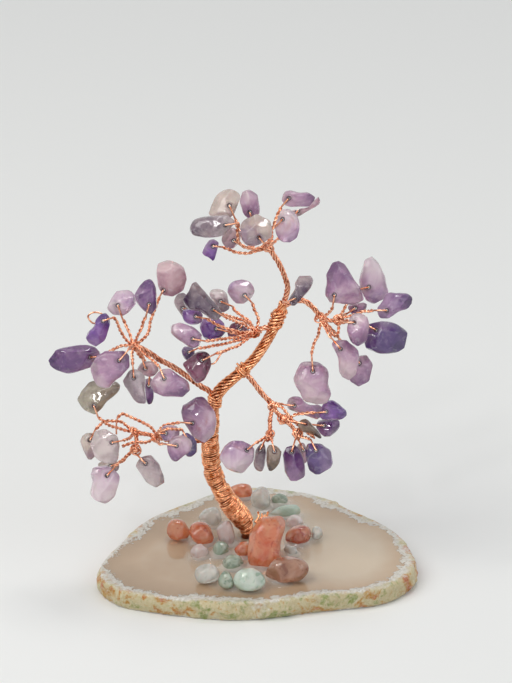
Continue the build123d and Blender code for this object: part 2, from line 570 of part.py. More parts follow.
class ChipFit:
    """The real places of one chip: its middle, its hole and the wire loop through it."""

    def __init__(self, chip, branch):
        """Work the places out from the chip's table row and its branch's hub plane."""
        first_hub = list(branch.hubs.values())[0]
        plane = near_of(first_hub[1], branch.hub_back_share)
        middle_u, middle_v = mean_of(chip.outline)
        self.half_thickness = chip_thickness * chip.thickness_share / 2
        self.centre = place(middle_u, middle_v, plane + chip.layer_share * crown_depth)
        hole_across = (chip.hole[0] - middle_u) * chip_pixel
        hole_up = (middle_v - chip.hole[1]) * chip_pixel
        target = chip.stem[-1]
        heading = Vector(target[0] - chip.hole[0], target[1] - chip.hole[1], 0).normalized()
        outward = (heading.X, heading.Y)
        inward = (middle_u - chip.hole[0], middle_v - chip.hole[1])
        self.edge = edge_reach(chip.outline, chip.hole, outward, chip_pixel)
        away = (-inward[0], -inward[1])
        off_centre = math.hypot(*away)
        rim = edge_reach(chip.outline, chip.hole, (away[0] / off_centre, away[1] / off_centre), chip_pixel)
        reach_share = off_centre * chip_pixel / (off_centre * chip_pixel + rim)
        self.surface = self.half_thickness * surface_share(reach_share)
        self.rise = swing_loop_rise if chip.swings else loop_rise
        self.reach = swing_loop_reach if chip.swings else loop_reach
        self.chip = chip
        self.hole = self.point_at(hole_across, hole_up, 0)
        self.hole_across = hole_across
        self.hole_up = hole_up
        self.heading = heading
        self.apex = self.out_point(self.edge + self.reach, 0)

    def point_at(self, across, up, near):
        """Return a point from the chip's middle, near mm in front of its leaning middle plane."""
        lean = self.chip.lean_shares[0] * across + self.chip.lean_shares[1] * up
        return self.centre + right_way * across + up_way * up + near_way * (near + lean)

    def out_point(self, distance, near):
        """Return a point that lies a distance out from the hole towards the stem."""
        across = self.hole_across + self.heading.X * distance
        up = self.hole_up - self.heading.Y * distance
        return self.point_at(across, up, near)

    def solid(self):
        """Return the drilled chip."""
        body = pillow(self.chip.outline, self.centre, self.half_thickness, self.chip.lean_shares, chip_pixel)
        length = chip_length + cut_overrun
        back_end = Plane(self.hole - near_way * (length / 2), z_dir=near_way)
        drill = Solid.make_cylinder(hole_diameter / 2, length, back_end)
        return body.cut(drill)

    def loop(self, before):
        """Return the wire loop through the hole; its ends start inside the stem that comes from before."""
        corner = self.surface + self.rise
        shoulder = self.surface * shoulder_surface_share + self.rise * shoulder_rise_share
        out = self.edge + self.reach * shoulder_reach_share
        root = self.apex - (self.apex - before).normalized() * loop_root_depth
        part_way = near_way * (stem_diameter * loop_root_share)
        points = [root + part_way, self.out_point(out, shoulder), self.out_point(0, corner),
                  self.out_point(0, -corner), self.out_point(out, -shoulder), root - part_way]
        return tube(points, loop_wire_diameter, loop_bend_radius)


def branch_point(branch, spot):
    """Return the real point of a hub or stem spot of a branch."""
    first_hub = list(branch.hubs.values())[0]
    plane = near_of(first_hub[1], branch.hub_back_share)
    return place(spot[0], spot[1], plane + spot[2] * crown_depth)


def rope_points(branch):
    """Return the real points of a branch's rope, from its root by the trunk to its first hub."""
    spots = branch.rope
    near_start = near_of(spots[0][1], branch.root_back_share)
    near_end = near_of(list(branch.hubs.values())[0][1], branch.hub_back_share)
    lengths = [0]
    for (u0, v0), (u1, v1) in zip(spots, spots[1:]):
        lengths.append(lengths[-1] + math.hypot(u1 - u0, v1 - v0))
    points = []
    for (u, v), length in zip(spots, lengths):
        share = length / lengths[-1]
        points.append(place(u, v, near_start + (near_end - near_start) * share))
    points[-1] = branch_point(branch, list(branch.hubs.values())[0])
    return points


def branch_wire(name, fits):
    """Return all the wire of one branch as one solid."""
    branch = BRANCHES[name]
    rope = rope_points(branch)
    pieces = [tube(rope, branch_rope_diameter, bend_radius_limit)]
    for spot in branch.hubs.values():
        pieces.append(knot(branch_point(branch, spot), near_way))
    for twig in branch.twigs:
        pieces.append(tube([branch_point(branch, spot) for spot in twig], twig_diameter, bend_radius_limit))
    for fit in fits:
        chip = fit.chip
        start = rope[0] if chip.hub == "root" else branch_point(branch, branch.hubs[chip.hub])
        stem = [start] + [branch_point(branch, spot) for spot in chip.stem[:-1]] + [fit.apex]
        pieces.append(tube(stem, stem_diameter, bend_radius_limit))
        pieces.append(fit.loop(stem[-2]))
    return pieces[0].fuse(*pieces[1:])


def trunk_stations():
    """Return the trunk's stations as centre, outer radius and core radius."""
    stations = []
    for u, v, back_share, width_share in WOUND_STATIONS:
        outer = trunk_width * width_share / 2
        core = outer - binding_wire - binding_seat_gap
        stations.append((place(u, v, near_of(v, back_share)), outer, core))
    for u, v, back_share, width_share in ROPE_STATIONS:
        outer = trunk_width * width_share / 2
        stations.append((place(u, v, near_of(v, back_share)), outer, outer))
    return stations


def curve_at(stations, place_along):
    """Return the centre and core radius at a place along the stations, on a smooth curve."""
    last = len(stations) - 1
    index = min(int(place_along), last - 1)
    t = place_along - index
    before = stations[max(index - 1, 0)]
    start = stations[index]
    end = stations[index + 1]
    after = stations[min(index + 2, last)]
    centre = (start[0] * 2 + (end[0] - before[0]) * t
              + (before[0] * 2 - start[0] * 5 + end[0] * 4 - after[0]) * (t * t)
              + (start[0] * 3 - before[0] - end[0] * 3 + after[0]) * (t * t * t)) * 0.5
    return centre, start[2] + (end[2] - start[2]) * t


def tangent_at(stations, place_along):
    """Return the direction of the trunk's middle line at a place along it."""
    low = max(place_along - tangent_step_share, 0)
    high = min(place_along + tangent_step_share, len(stations) - 1)
    return (curve_at(stations, high)[0] - curve_at(stations, low)[0]).normalized()


def trunk_core(stations):
    """Return the bundle of wires inside the trunk, as a bent and tapering bar with a collar."""
    rings = []
    for half in range(2 * len(stations) - 1):
        centre, core = curve_at(stations, half / 2)
        heading = Vector(0, 0, 1) if half == 0 else tangent_at(stations, half / 2)
        rings.append(Wire([Edge.make_circle(core, Plane(centre, z_dir=heading))]))
    core_bar = Solid.make_loft(rings)
    collar_place = len(stations) - 3
    heading = tangent_at(stations, collar_place)
    base = curve_at(stations, collar_place)[0] - heading * (collar_length / 2)
    collar = Solid.make_cylinder(collar_radius, collar_length, Plane(base, z_dir=heading))
    return core_bar.fuse(collar)


def even_places(stations, first, last, count):
    """Return count + 1 places along the stations that are evenly spaced by length."""
    places = [first + (last - first) * i / length_samples for i in range(length_samples + 1)]
    lengths = [0]
    for low, high in zip(places, places[1:]):
        lengths.append(lengths[-1] + (curve_at(stations, high)[0] - curve_at(stations, low)[0]).length)
    even = []
    index = 0
    for i in range(count + 1):
        wanted = lengths[-1] * i / count
        while index < length_samples - 1 and lengths[index + 1] < wanted:
            index += 1
        share = (wanted - lengths[index]) / (lengths[index + 1] - lengths[index])
        even.append(places[index] + (places[index + 1] - places[index]) * share)
    return even


def winding_point(stations, place_along, angle):
    """Return the middle of the binding wire at a place along the trunk and an angle round it."""
    centre, core = curve_at(stations, place_along)
    heading = tangent_at(stations, place_along)
    side = heading.cross(Vector(0, 1, 0)).normalized()
    front = side.cross(heading).normalized()
    radius = core + binding_seat_gap + binding_wire / 2
    return centre + side * (radius * math.cos(angle)) + front * (radius * math.sin(angle))


def biarc(start, start_way, end, end_way):
    """Return two tangent arcs that join two points with a given heading at each."""
    chord = end - start
    a = 2 * (start_way.dot(end_way) - 1)
    b = -2 * chord.dot(start_way + end_way)
    c = chord.dot(chord)
    reach = (-b - math.sqrt(b * b - 4 * a * c)) / (2 * a)
    if reach < 0:
        reach = (-b + math.sqrt(b * b - 4 * a * c)) / (2 * a)
    low = start + start_way * reach
    high = end - end_way * reach
    middle = (low + high) * 0.5
    return [TangentArc(start, middle, tangent=start_way), TangentArc(middle, end, tangent=high - low)]


def trunk_binding(stations):
    """Return the winding over the trunk's core, as one unbroken tube."""
    quarters = 4 * binding_turns
    first = binding_start_share
    last = len(WOUND_STATIONS) - binding_end_share
    places = even_places(stations, first, last, quarters)
    points = []
    ways = []
    for i, spot in enumerate(places):
        angle = i * math.pi / 2
        spread = (last - first) / quarters * heading_step_share
        turn = heading_step_share * math.pi / 2
        before = winding_point(stations, spot - spread, angle - turn)
        after = winding_point(stations, spot + spread, angle + turn)
        points.append(winding_point(stations, spot, angle))
        ways.append((after - before).normalized())
    edges = [Line(points[0] - ways[0] * binding_wire, points[0])]
    for i in range(quarters):
        edges += biarc(points[i], ways[i], points[i + 1], ways[i + 1])
    edges.append(Line(points[-1], points[-1] + ways[-1] * binding_wire))
    path = Wire(edges)
    start = Plane(origin=path @ 0, z_dir=path % 0)
    winding = Solid.sweep(Face(Wire([Edge.make_circle(binding_wire / 2, start)])), path)
    print("binding least gap", round(winding_gap(edges), 3), "mm")
    section = math.pi * binding_wire ** 2 / 4
    print("binding volume over section times length", round(winding.volume / (section * path.length), 4))
    return winding


def winding_gap(edges):
    """Return the least gap between a turn of the winding and the next."""
    samples = []
    for edge in edges:
        samples += [edge @ (i / gap_samples) for i in range(gap_samples)]
    turn = len(samples) // binding_turns
    least = math.inf
    for i in range(len(samples)):
        for j in range(i + turn // 2 + 1, min(i + 2 * turn, len(samples))):
            least = min(least, (samples[i] - samples[j]).length)
    return least - binding_wire


def agate_slice():
    """Return the slice: two sawn faces and a side that swells between them."""
    rings = []
    for height_share, inset in ((0.0, slice_face_inset), (slice_widest_share, 0.0), (1.0, slice_face_inset)):
        points = []
        for u, v in SLICE_OUTLINE:
            across, back = slice_place(u, v)
            length = math.hypot(across, back)
            drawn = (length - inset) / length
            points.append(Vector(across * drawn, back * drawn, slice_thickness * height_share))
        rings.append(Wire([Spline(*points, periodic=True)]))
    return Solid.make_loft(rings)


def on_slice(u, v, height):
    """Return a point on the slice's top by its place on the picture, raised by a height."""
    back = foot_y + (FOOT_V - v) * pixel / tilt_sine
    return Vector(foot_x + (u - FOOT_U) * pixel, back, slice_thickness + height)


def glue_bed(foot_radius):
    """Return the clear glue pool, with a bore for the trunk's foot."""
    ring = Wire([Spline(*[on_slice(u, v, 0) for u, v in GLUE_OUTLINE], periodic=True)])
    pool = Solid.extrude(Face(ring), Vector(0, 0, glue_thickness))
    bore = Solid.make_cylinder(foot_radius + trunk_foot_radius_gap, glue_thickness + 2 * cut_overrun,
                               Plane(foot - Vector(0, 0, cut_overrun)))
    return pool.cut(bore)


def base_stone(thickness_share, outline):
    """Return one stone that stands on the glue with a flat foot."""
    half_thickness = base_stone_thickness * thickness_share / 2
    top_v = min(v for u, v in outline)
    foot_v = max(v for u, v in outline)
    stretched = [(u, top_v + (v - top_v) * base_stone_stretch_share) for u, v in outline]
    middle_u, middle_v = mean_of(stretched)
    rise = (foot_v - middle_v) * pixel * tilt_cosine + glue_thickness
    up = (FOOT_V - middle_v) * pixel
    near = (rise - up * tilt_cosine) / tilt_sine
    centre = place(middle_u, middle_v, near)
    stone = pillow(stretched, centre, half_thickness, (0, 0), pixel * base_stone_size_share)
    side = slice_width
    corner = Vector(centre.X - side / 2, centre.Y - side / 2, slice_thickness + glue_thickness)
    return stone.intersect(Solid.make_box(side, side, side, Plane(corner)))


def solids_of(shape):
    """Return the solids of a shape or of a list of shapes."""
    if isinstance(shape, Solid):
        return [shape]
    found = []
    for piece in (shape if isinstance(shape, (list, ShapeList)) else [shape]):
        found += piece.solids()
    return found


def write_node(name, shapes):
    """Write one node's solids to its STEP file."""
    solids = []
    for shape in shapes:
        solids += solids_of(shape)
    for solid in solids:
        if not solid.is_valid:
            print("not valid:", name)
    export_step(Compound(solids), os.path.join("parts", name + ".step"))


def main():
    """Build every node and write it."""
    os.makedirs("parts", exist_ok=True)
    stations = trunk_stations()
    write_node("agate_slice", [agate_slice()])
    write_node("glue_bed", [glue_bed(stations[0][1])])
    write_node("trunk_core", [trunk_core(stations)])
    write_node("trunk_binding", [trunk_binding(stations)])
    for kind in ("carnelian", "aventurine", "rose_quartz", "clear_quartz"):
        stones = [base_stone(share, outline) for name, share, outline in BASE_STONES if name == kind]
        write_node("base_chips_" + kind, stones)
    fits = [ChipFit(chip, BRANCHES[chip.branch]) for chip in CHIPS]
    for name in BRANCHES:
        write_node("wire_" + name, [branch_wire(name, [fit for fit in fits if fit.chip.branch == name])])
    for node in sorted({chip.node for chip in CHIPS}):
        write_node(node, [fit.solid() for fit in fits if fit.chip.node == node])


main()
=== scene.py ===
"""Gemstone tree ornament: amethyst chips on a copper wire tree that stands on a slice of agate."""

import json
import logging
import math
import random
from dataclasses import dataclass, field, replace
from enum import Enum
from typing import Any

import bmesh
import bpy
import numpy as np
from mathutils import Matrix, Vector, noise
from mathutils.bvhtree import BVHTree
from mathutils.kdtree import KDTree

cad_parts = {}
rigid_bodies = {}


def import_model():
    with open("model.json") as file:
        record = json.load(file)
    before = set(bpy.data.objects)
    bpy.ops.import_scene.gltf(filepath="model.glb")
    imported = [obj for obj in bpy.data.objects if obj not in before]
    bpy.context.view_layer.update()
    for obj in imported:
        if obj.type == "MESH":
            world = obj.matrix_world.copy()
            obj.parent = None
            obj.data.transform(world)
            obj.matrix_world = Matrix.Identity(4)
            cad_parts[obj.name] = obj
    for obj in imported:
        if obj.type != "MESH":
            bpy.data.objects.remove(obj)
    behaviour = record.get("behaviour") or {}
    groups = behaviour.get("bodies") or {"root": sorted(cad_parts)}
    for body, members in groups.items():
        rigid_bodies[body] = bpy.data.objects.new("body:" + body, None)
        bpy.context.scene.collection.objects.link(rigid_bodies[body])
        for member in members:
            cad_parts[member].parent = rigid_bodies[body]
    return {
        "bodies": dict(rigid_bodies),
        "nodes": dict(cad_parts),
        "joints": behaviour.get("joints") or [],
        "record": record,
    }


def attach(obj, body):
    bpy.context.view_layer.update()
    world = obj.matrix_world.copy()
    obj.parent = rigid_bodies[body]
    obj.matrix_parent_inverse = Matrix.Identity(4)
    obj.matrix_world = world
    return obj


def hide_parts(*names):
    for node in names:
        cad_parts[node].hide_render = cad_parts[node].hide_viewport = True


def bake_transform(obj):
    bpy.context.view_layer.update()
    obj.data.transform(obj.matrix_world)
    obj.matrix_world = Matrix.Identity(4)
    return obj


LOG = logging.getLogger("ornament")
MM = 0.001
NOISE_SEED = 1
QUARTZ_IOR = 1.54
GLUE_IOR = 1.5
BACKGROUND = "#F3F4F2"


# Finishes


class Stone(Enum):
    """The kinds of stone round the foot."""

    CARNELIAN = "carnelian"
    AVENTURINE = "aventurine"
    ROSE_QUARTZ = "rose_quartz"
    CLEAR_QUARTZ = "clear_quartz"


@dataclass(frozen=True)
class AmethystFinish:
    """The colours of one sort of chip, from its pale end to its deep end, and how it is polished."""

    pale: str
    middle: str
    deep: str
    cloud: float = 0.55
    veil: float = 0.35
    specks: float = 0.0
    transmission: float = 0.5
    veil_colour: str = "#EFE9EF"
    speck_colour: str = "#3C3038"
    # The bore's dark colour is painted shade in and round the drilled hole.
    bore_shade_colour: str = "#4A3440"
    roughness: float = 0.07
    bore_roughness: float = 0.8
    coat: float = 0.6
    bore_radius: float = 0.5
    bore_fade: float = 1.1
    end_share: float = 0.34


@dataclass(frozen=True)
class StoneFinish:
    """The colours and clearness of one tumbled stone by the foot."""

    pale: str
    deep: str
    blotch: str
    blotch_share: float = 0.15
    transmission: float = 0.3
    roughness: float = 0.07


@dataclass(frozen=True)
class CopperFinish:
    """Bare copper wire: its bright and its tarnished colour."""

    bright: str = "#FABF9F"
    dark: str = "#BC6A48"
    roughness: float = 0.2


@dataclass(frozen=True)
class AgateFinish:
    """The slice's colours and the widths of its bands, from the polished field out to the rough rind."""

    field_dark: str = "#AE9375"
    field_middle: str = "#C3A88A"
    field_light: str = "#D3C1A8"
    druse_dark: str = "#BDB5A4"
    druse: str = "#DDD9CF"
    druse_light: str = "#F4F2EC"
    rind: str = "#CDBF94"
    rind_light: str = "#E9E2CC"
    ochre: str = "#BD8A2C"
    orange: str = "#B85C28"
    green: str = "#8A9446"
    druse_width: tuple = (4.6, 5.2)
    rind_width: tuple = (1.2, 3.4)


FINISHES = {
    "lilac": AmethystFinish("#F6E4EA", "#DBBBD4", "#A57CB4"),
    "mauve": AmethystFinish("#EBD2D9", "#C59BBB", "#88598F"),
    "violet": AmethystFinish("#CEA8D1", "#9762B6", "#5D2795", 0.6, 0.25),
    "purple": AmethystFinish("#B891B8", "#81528F", "#4C236E", 0.65, 0.25),
    "indigo": AmethystFinish("#A489AE", "#6C4C90", "#402664", 0.6, 0.3, 0.0, 0.4),
    "grey": AmethystFinish("#EADBD9", "#CAB6BA", "#947E91", 0.6, 0.5, 0.25),
    "smoke": AmethystFinish("#D2BFC1", "#9E8993", "#5F4663", 0.75, 0.35, 0.5),
    "beige": AmethystFinish("#F2E2D7", "#D7C3BA", "#AE94A6", 0.6, 0.5, 0.1),
    "brown": AmethystFinish("#C2A48F", "#8E7461", "#573F3A", 0.6, 0.25, 0.3),
    "pink": AmethystFinish("#F6DDDD", "#DBB4BE", "#B07E9B", 0.55, 0.4),
    "wine": AmethystFinish("#BB8097", "#864465", "#491A38", 0.5, 0.2),
    "moss": AmethystFinish("#D5CCB6", "#AA9B89", "#76635B", 0.7, 0.4, 0.35),
}

STONE_FINISHES = {
    "orange": StoneFinish("#F4AC82", "#E3693A", "#B93A1E", 0.12, 0.5),
    "amber": StoneFinish("#EFAE84", "#DA7746", "#BC5232", 0.15, 0.5),
    "red": StoneFinish("#DC9A74", "#C45A36", "#A81410", 0.45, 0.4),
    "tea": StoneFinish("#D6AA90", "#AE7658", "#8C4630", 0.3, 0.5),
    "mint": StoneFinish("#DDE6DA", "#B3CBB6", "#93B39B", 0.2, 0.25),
    "sage": StoneFinish("#C6CFBE", "#9DB09A", "#748B76", 0.3, 0.35),
    "rose": StoneFinish("#F0E2DE", "#E2CAC6", "#D7A79C", 0.1, 0.5),
    "ice": StoneFinish("#F1F0EB", "#DEDCD5", "#C6C4BC", 0.2, 0.6),
}


# Places on the picture


@dataclass(frozen=True)
class Picture:
    """The photograph's plane in the object's own lengths, all in millimetres."""

    tilt: float = 27.0
    tree_height: float = 115.0
    crown_depth: float = 40.0
    foot_u: float = 246.0
    foot_v: float = 537.0
    top_v: float = 192.0
    foot: tuple = (-3.5625, 4.257, 6.0)

    @property
    def pixel(self) -> float:
        """Return one pixel's size."""
        return self.tree_height * math.cos(math.radians(self.tilt)) / (self.foot_v - self.top_v)

    @property
    def up(self) -> Vector:
        """Return the way that is up on the picture."""
        return Vector((0, math.sin(math.radians(self.tilt)), math.cos(math.radians(self.tilt))))

    @property
    def near(self) -> Vector:
        """Return the way towards the camera."""
        return Vector((0, -math.cos(math.radians(self.tilt)), math.sin(math.radians(self.tilt))))

    def place(self, u: float, v: float, near: float) -> Vector:
        """Return the point seen at u, v that lies near mm in front of the foot's plane."""
        across = Vector(((u - self.foot_u) * self.pixel, 0, 0))
        return Vector(self.foot) + across + self.up * ((self.foot_v - v) * self.pixel) + self.near * near

    def near_of(self, v: float, back_share: float) -> float:
        """Return how far in front of the foot's plane a place at v lies that is back_share deep."""
        rise = (self.foot_v - v) * self.pixel * math.sin(math.radians(self.tilt))
        return (rise - back_share * self.crown_depth) / math.cos(math.radians(self.tilt))

    def seen(self, point: Vector) -> tuple:
        """Return the u and v at which a point is seen."""
        offset = point - Vector(self.foot)
        return self.foot_u + offset.x / self.pixel, self.foot_v - offset.dot(self.up) / self.pixel


PICTURE = Picture()


@dataclass(frozen=True)
class Branch:
    """One bent branch: its rope and hubs on the picture, and their depths."""

    root_back: float
    hub_back: float
    rope: list
    hubs: dict
    twigs: list = field(default_factory=list)

    def point(self, spot: tuple) -> Vector:
        """Find the real point of a hub or stem spot.

        Args:
            spot: its u, its v and how much nearer than the hub it lies, as a share of the crown's depth.

        Returns:
            The point.
        """
        first = next(iter(self.hubs.values()))
        near = PICTURE.near_of(first[1], self.hub_back) + spot[2] * PICTURE.crown_depth
        return PICTURE.place(spot[0], spot[1], near)

    def rope_points(self) -> list:
        """Work out the rope's real points.

        Returns:
            The points from its root to its first hub.
        """
        start = PICTURE.near_of(self.rope[0][1], self.root_back)
        first = next(iter(self.hubs.values()))
        end = PICTURE.near_of(first[1], self.hub_back)
        lengths = [0.0]
        for (u0, v0), (u1, v1) in zip(self.rope, self.rope[1:]):
            lengths.append(lengths[-1] + math.hypot(u1 - u0, v1 - v0))
        points = [
            PICTURE.place(u, v, start + (end - start) * length / lengths[-1])
            for (u, v), length in zip(self.rope, lengths)
        ]
        points[-1] = self.point(first)
        return points


BRANCHES = {
    "top": Branch(
        -0.10, -0.105, [(284.3, 300.8), (287, 288), (283, 275), (278, 264), (271, 253)],
        {"crown": (268, 249, 0.0)}),
    "right": Branch(
        -0.10, -0.155, [(290.2, 303.3), (301, 301), (311, 307), (320, 318)],
        {"first": (320, 318, 0.0), "second": (337, 320, 0.0)},
        [[(320, 318, 0.0), (329, 321, 0.0), (337, 320, 0.0)]]),
    "lower_right": Branch(
        -0.08, -0.13, [(247.8, 375.2), (255, 384), (263, 394), (273, 404)],
        {"first": (273, 404, 0.0), "second": (283, 418, 0.0), "left": (270, 434, 0.0),
         "right": (297, 433, 0.0)},
        [[(273, 404, 0.0), (276, 411, 0.01), (283, 418, 0.0)],
         [(273, 404, 0.0), (270, 418, -0.01), (270, 434, 0.0)],
         [(283, 418, 0.0), (291, 425, 0.01), (297, 433, 0.0)]]),
    "middle_left": Branch(
        -0.095, -0.03, [(262, 328.6), (259, 330.4), (256, 332)], {"first": (256, 332, 0.0)}),
    "upper_left": Branch(
        -0.06, -0.18, [(208.5, 390), (200, 385), (188, 376), (175, 367), (162, 360), (150, 352), (138, 345)],
        {"first": (137, 345, 0.0)}),
    "lower_left": Branch(
        -0.04, -0.255, [(200, 439.5), (190, 441), (176, 440), (158, 436)],
        {"first": (158, 436, 0.0), "second": (137, 432, 0.0), "low": (137, 448, 0.02)},
        [[(158, 436, 0.0), (148, 433, 0.01), (137, 432, 0.0)],
         [(137, 432, 0.0), (138, 440, 0.02), (137, 448, 0.02)]]),
}

# Where each rope leaves the trunk: a place on the trunk's middle line, as u, v and a depth share
ROOTS = {
    "top": (283, 306, -0.10),
    "right": (283, 307, -0.10),
    "lower_right": (241, 371, -0.075),
    "middle_left": (273, 327, -0.092),
    "upper_left": (216, 397, -0.06),
    "lower_left": (211.5, 438, -0.043),
}


# Wire that runs beside the stems: whether it is twisted, and its spots as on a stem
STRAYS = {
    "lower_left": [
        (True, [(158, 436, 0.0), (153, 427, 0.05), (143, 421, 0.06), (132, 416, 0.06), (124, 413, 0.06),
                (119, 417, 0.06)]),
        (False, [(119, 417, 0.06), (118, 424, 0.05), (118, 433, 0.02)]),
        (True, [(158, 436, 0.0), (148, 441, 0.06), (136, 441, 0.08), (124, 445, 0.1)]),
    ],
    "upper_left": [
        (False, [(110, 319, 0.13), (104, 314, 0.14), (96, 313, 0.14), (91, 317, 0.13), (95, 323, 0.12),
                 (101, 324, 0.11)]),
    ],
    "middle_left": [
        (False, [(240, 344, 0.03), (226, 351, 0.06), (222, 353, 0.07), (216, 362, 0.08), (211, 364, 0.08)]),
    ],
    "right": [
        (True, [(320, 318, 0.0), (328, 330, 0.02), (333, 336, 0.02), (337, 332, 0.01), (337, 320, 0.0)]),
    ],
    "lower_right": [
        (True, [(273, 404, 0.0), (282, 407, 0.05), (291, 418, 0.06), (305, 430, 0.06), (314, 437, 0.05)]),
    ],
}


@dataclass(frozen=True)
class Chip:
    """One drilled chip: its CAD node, its hub, hole and stem, and how its colour lies."""

    node: str
    branch: str
    hub: str
    hole: tuple
    stem: list
    finish: str
    heading: tuple = (0.0, -1.0)
    shift: float = 0.0
    swings: bool = False
    bumpy: float = 1.0


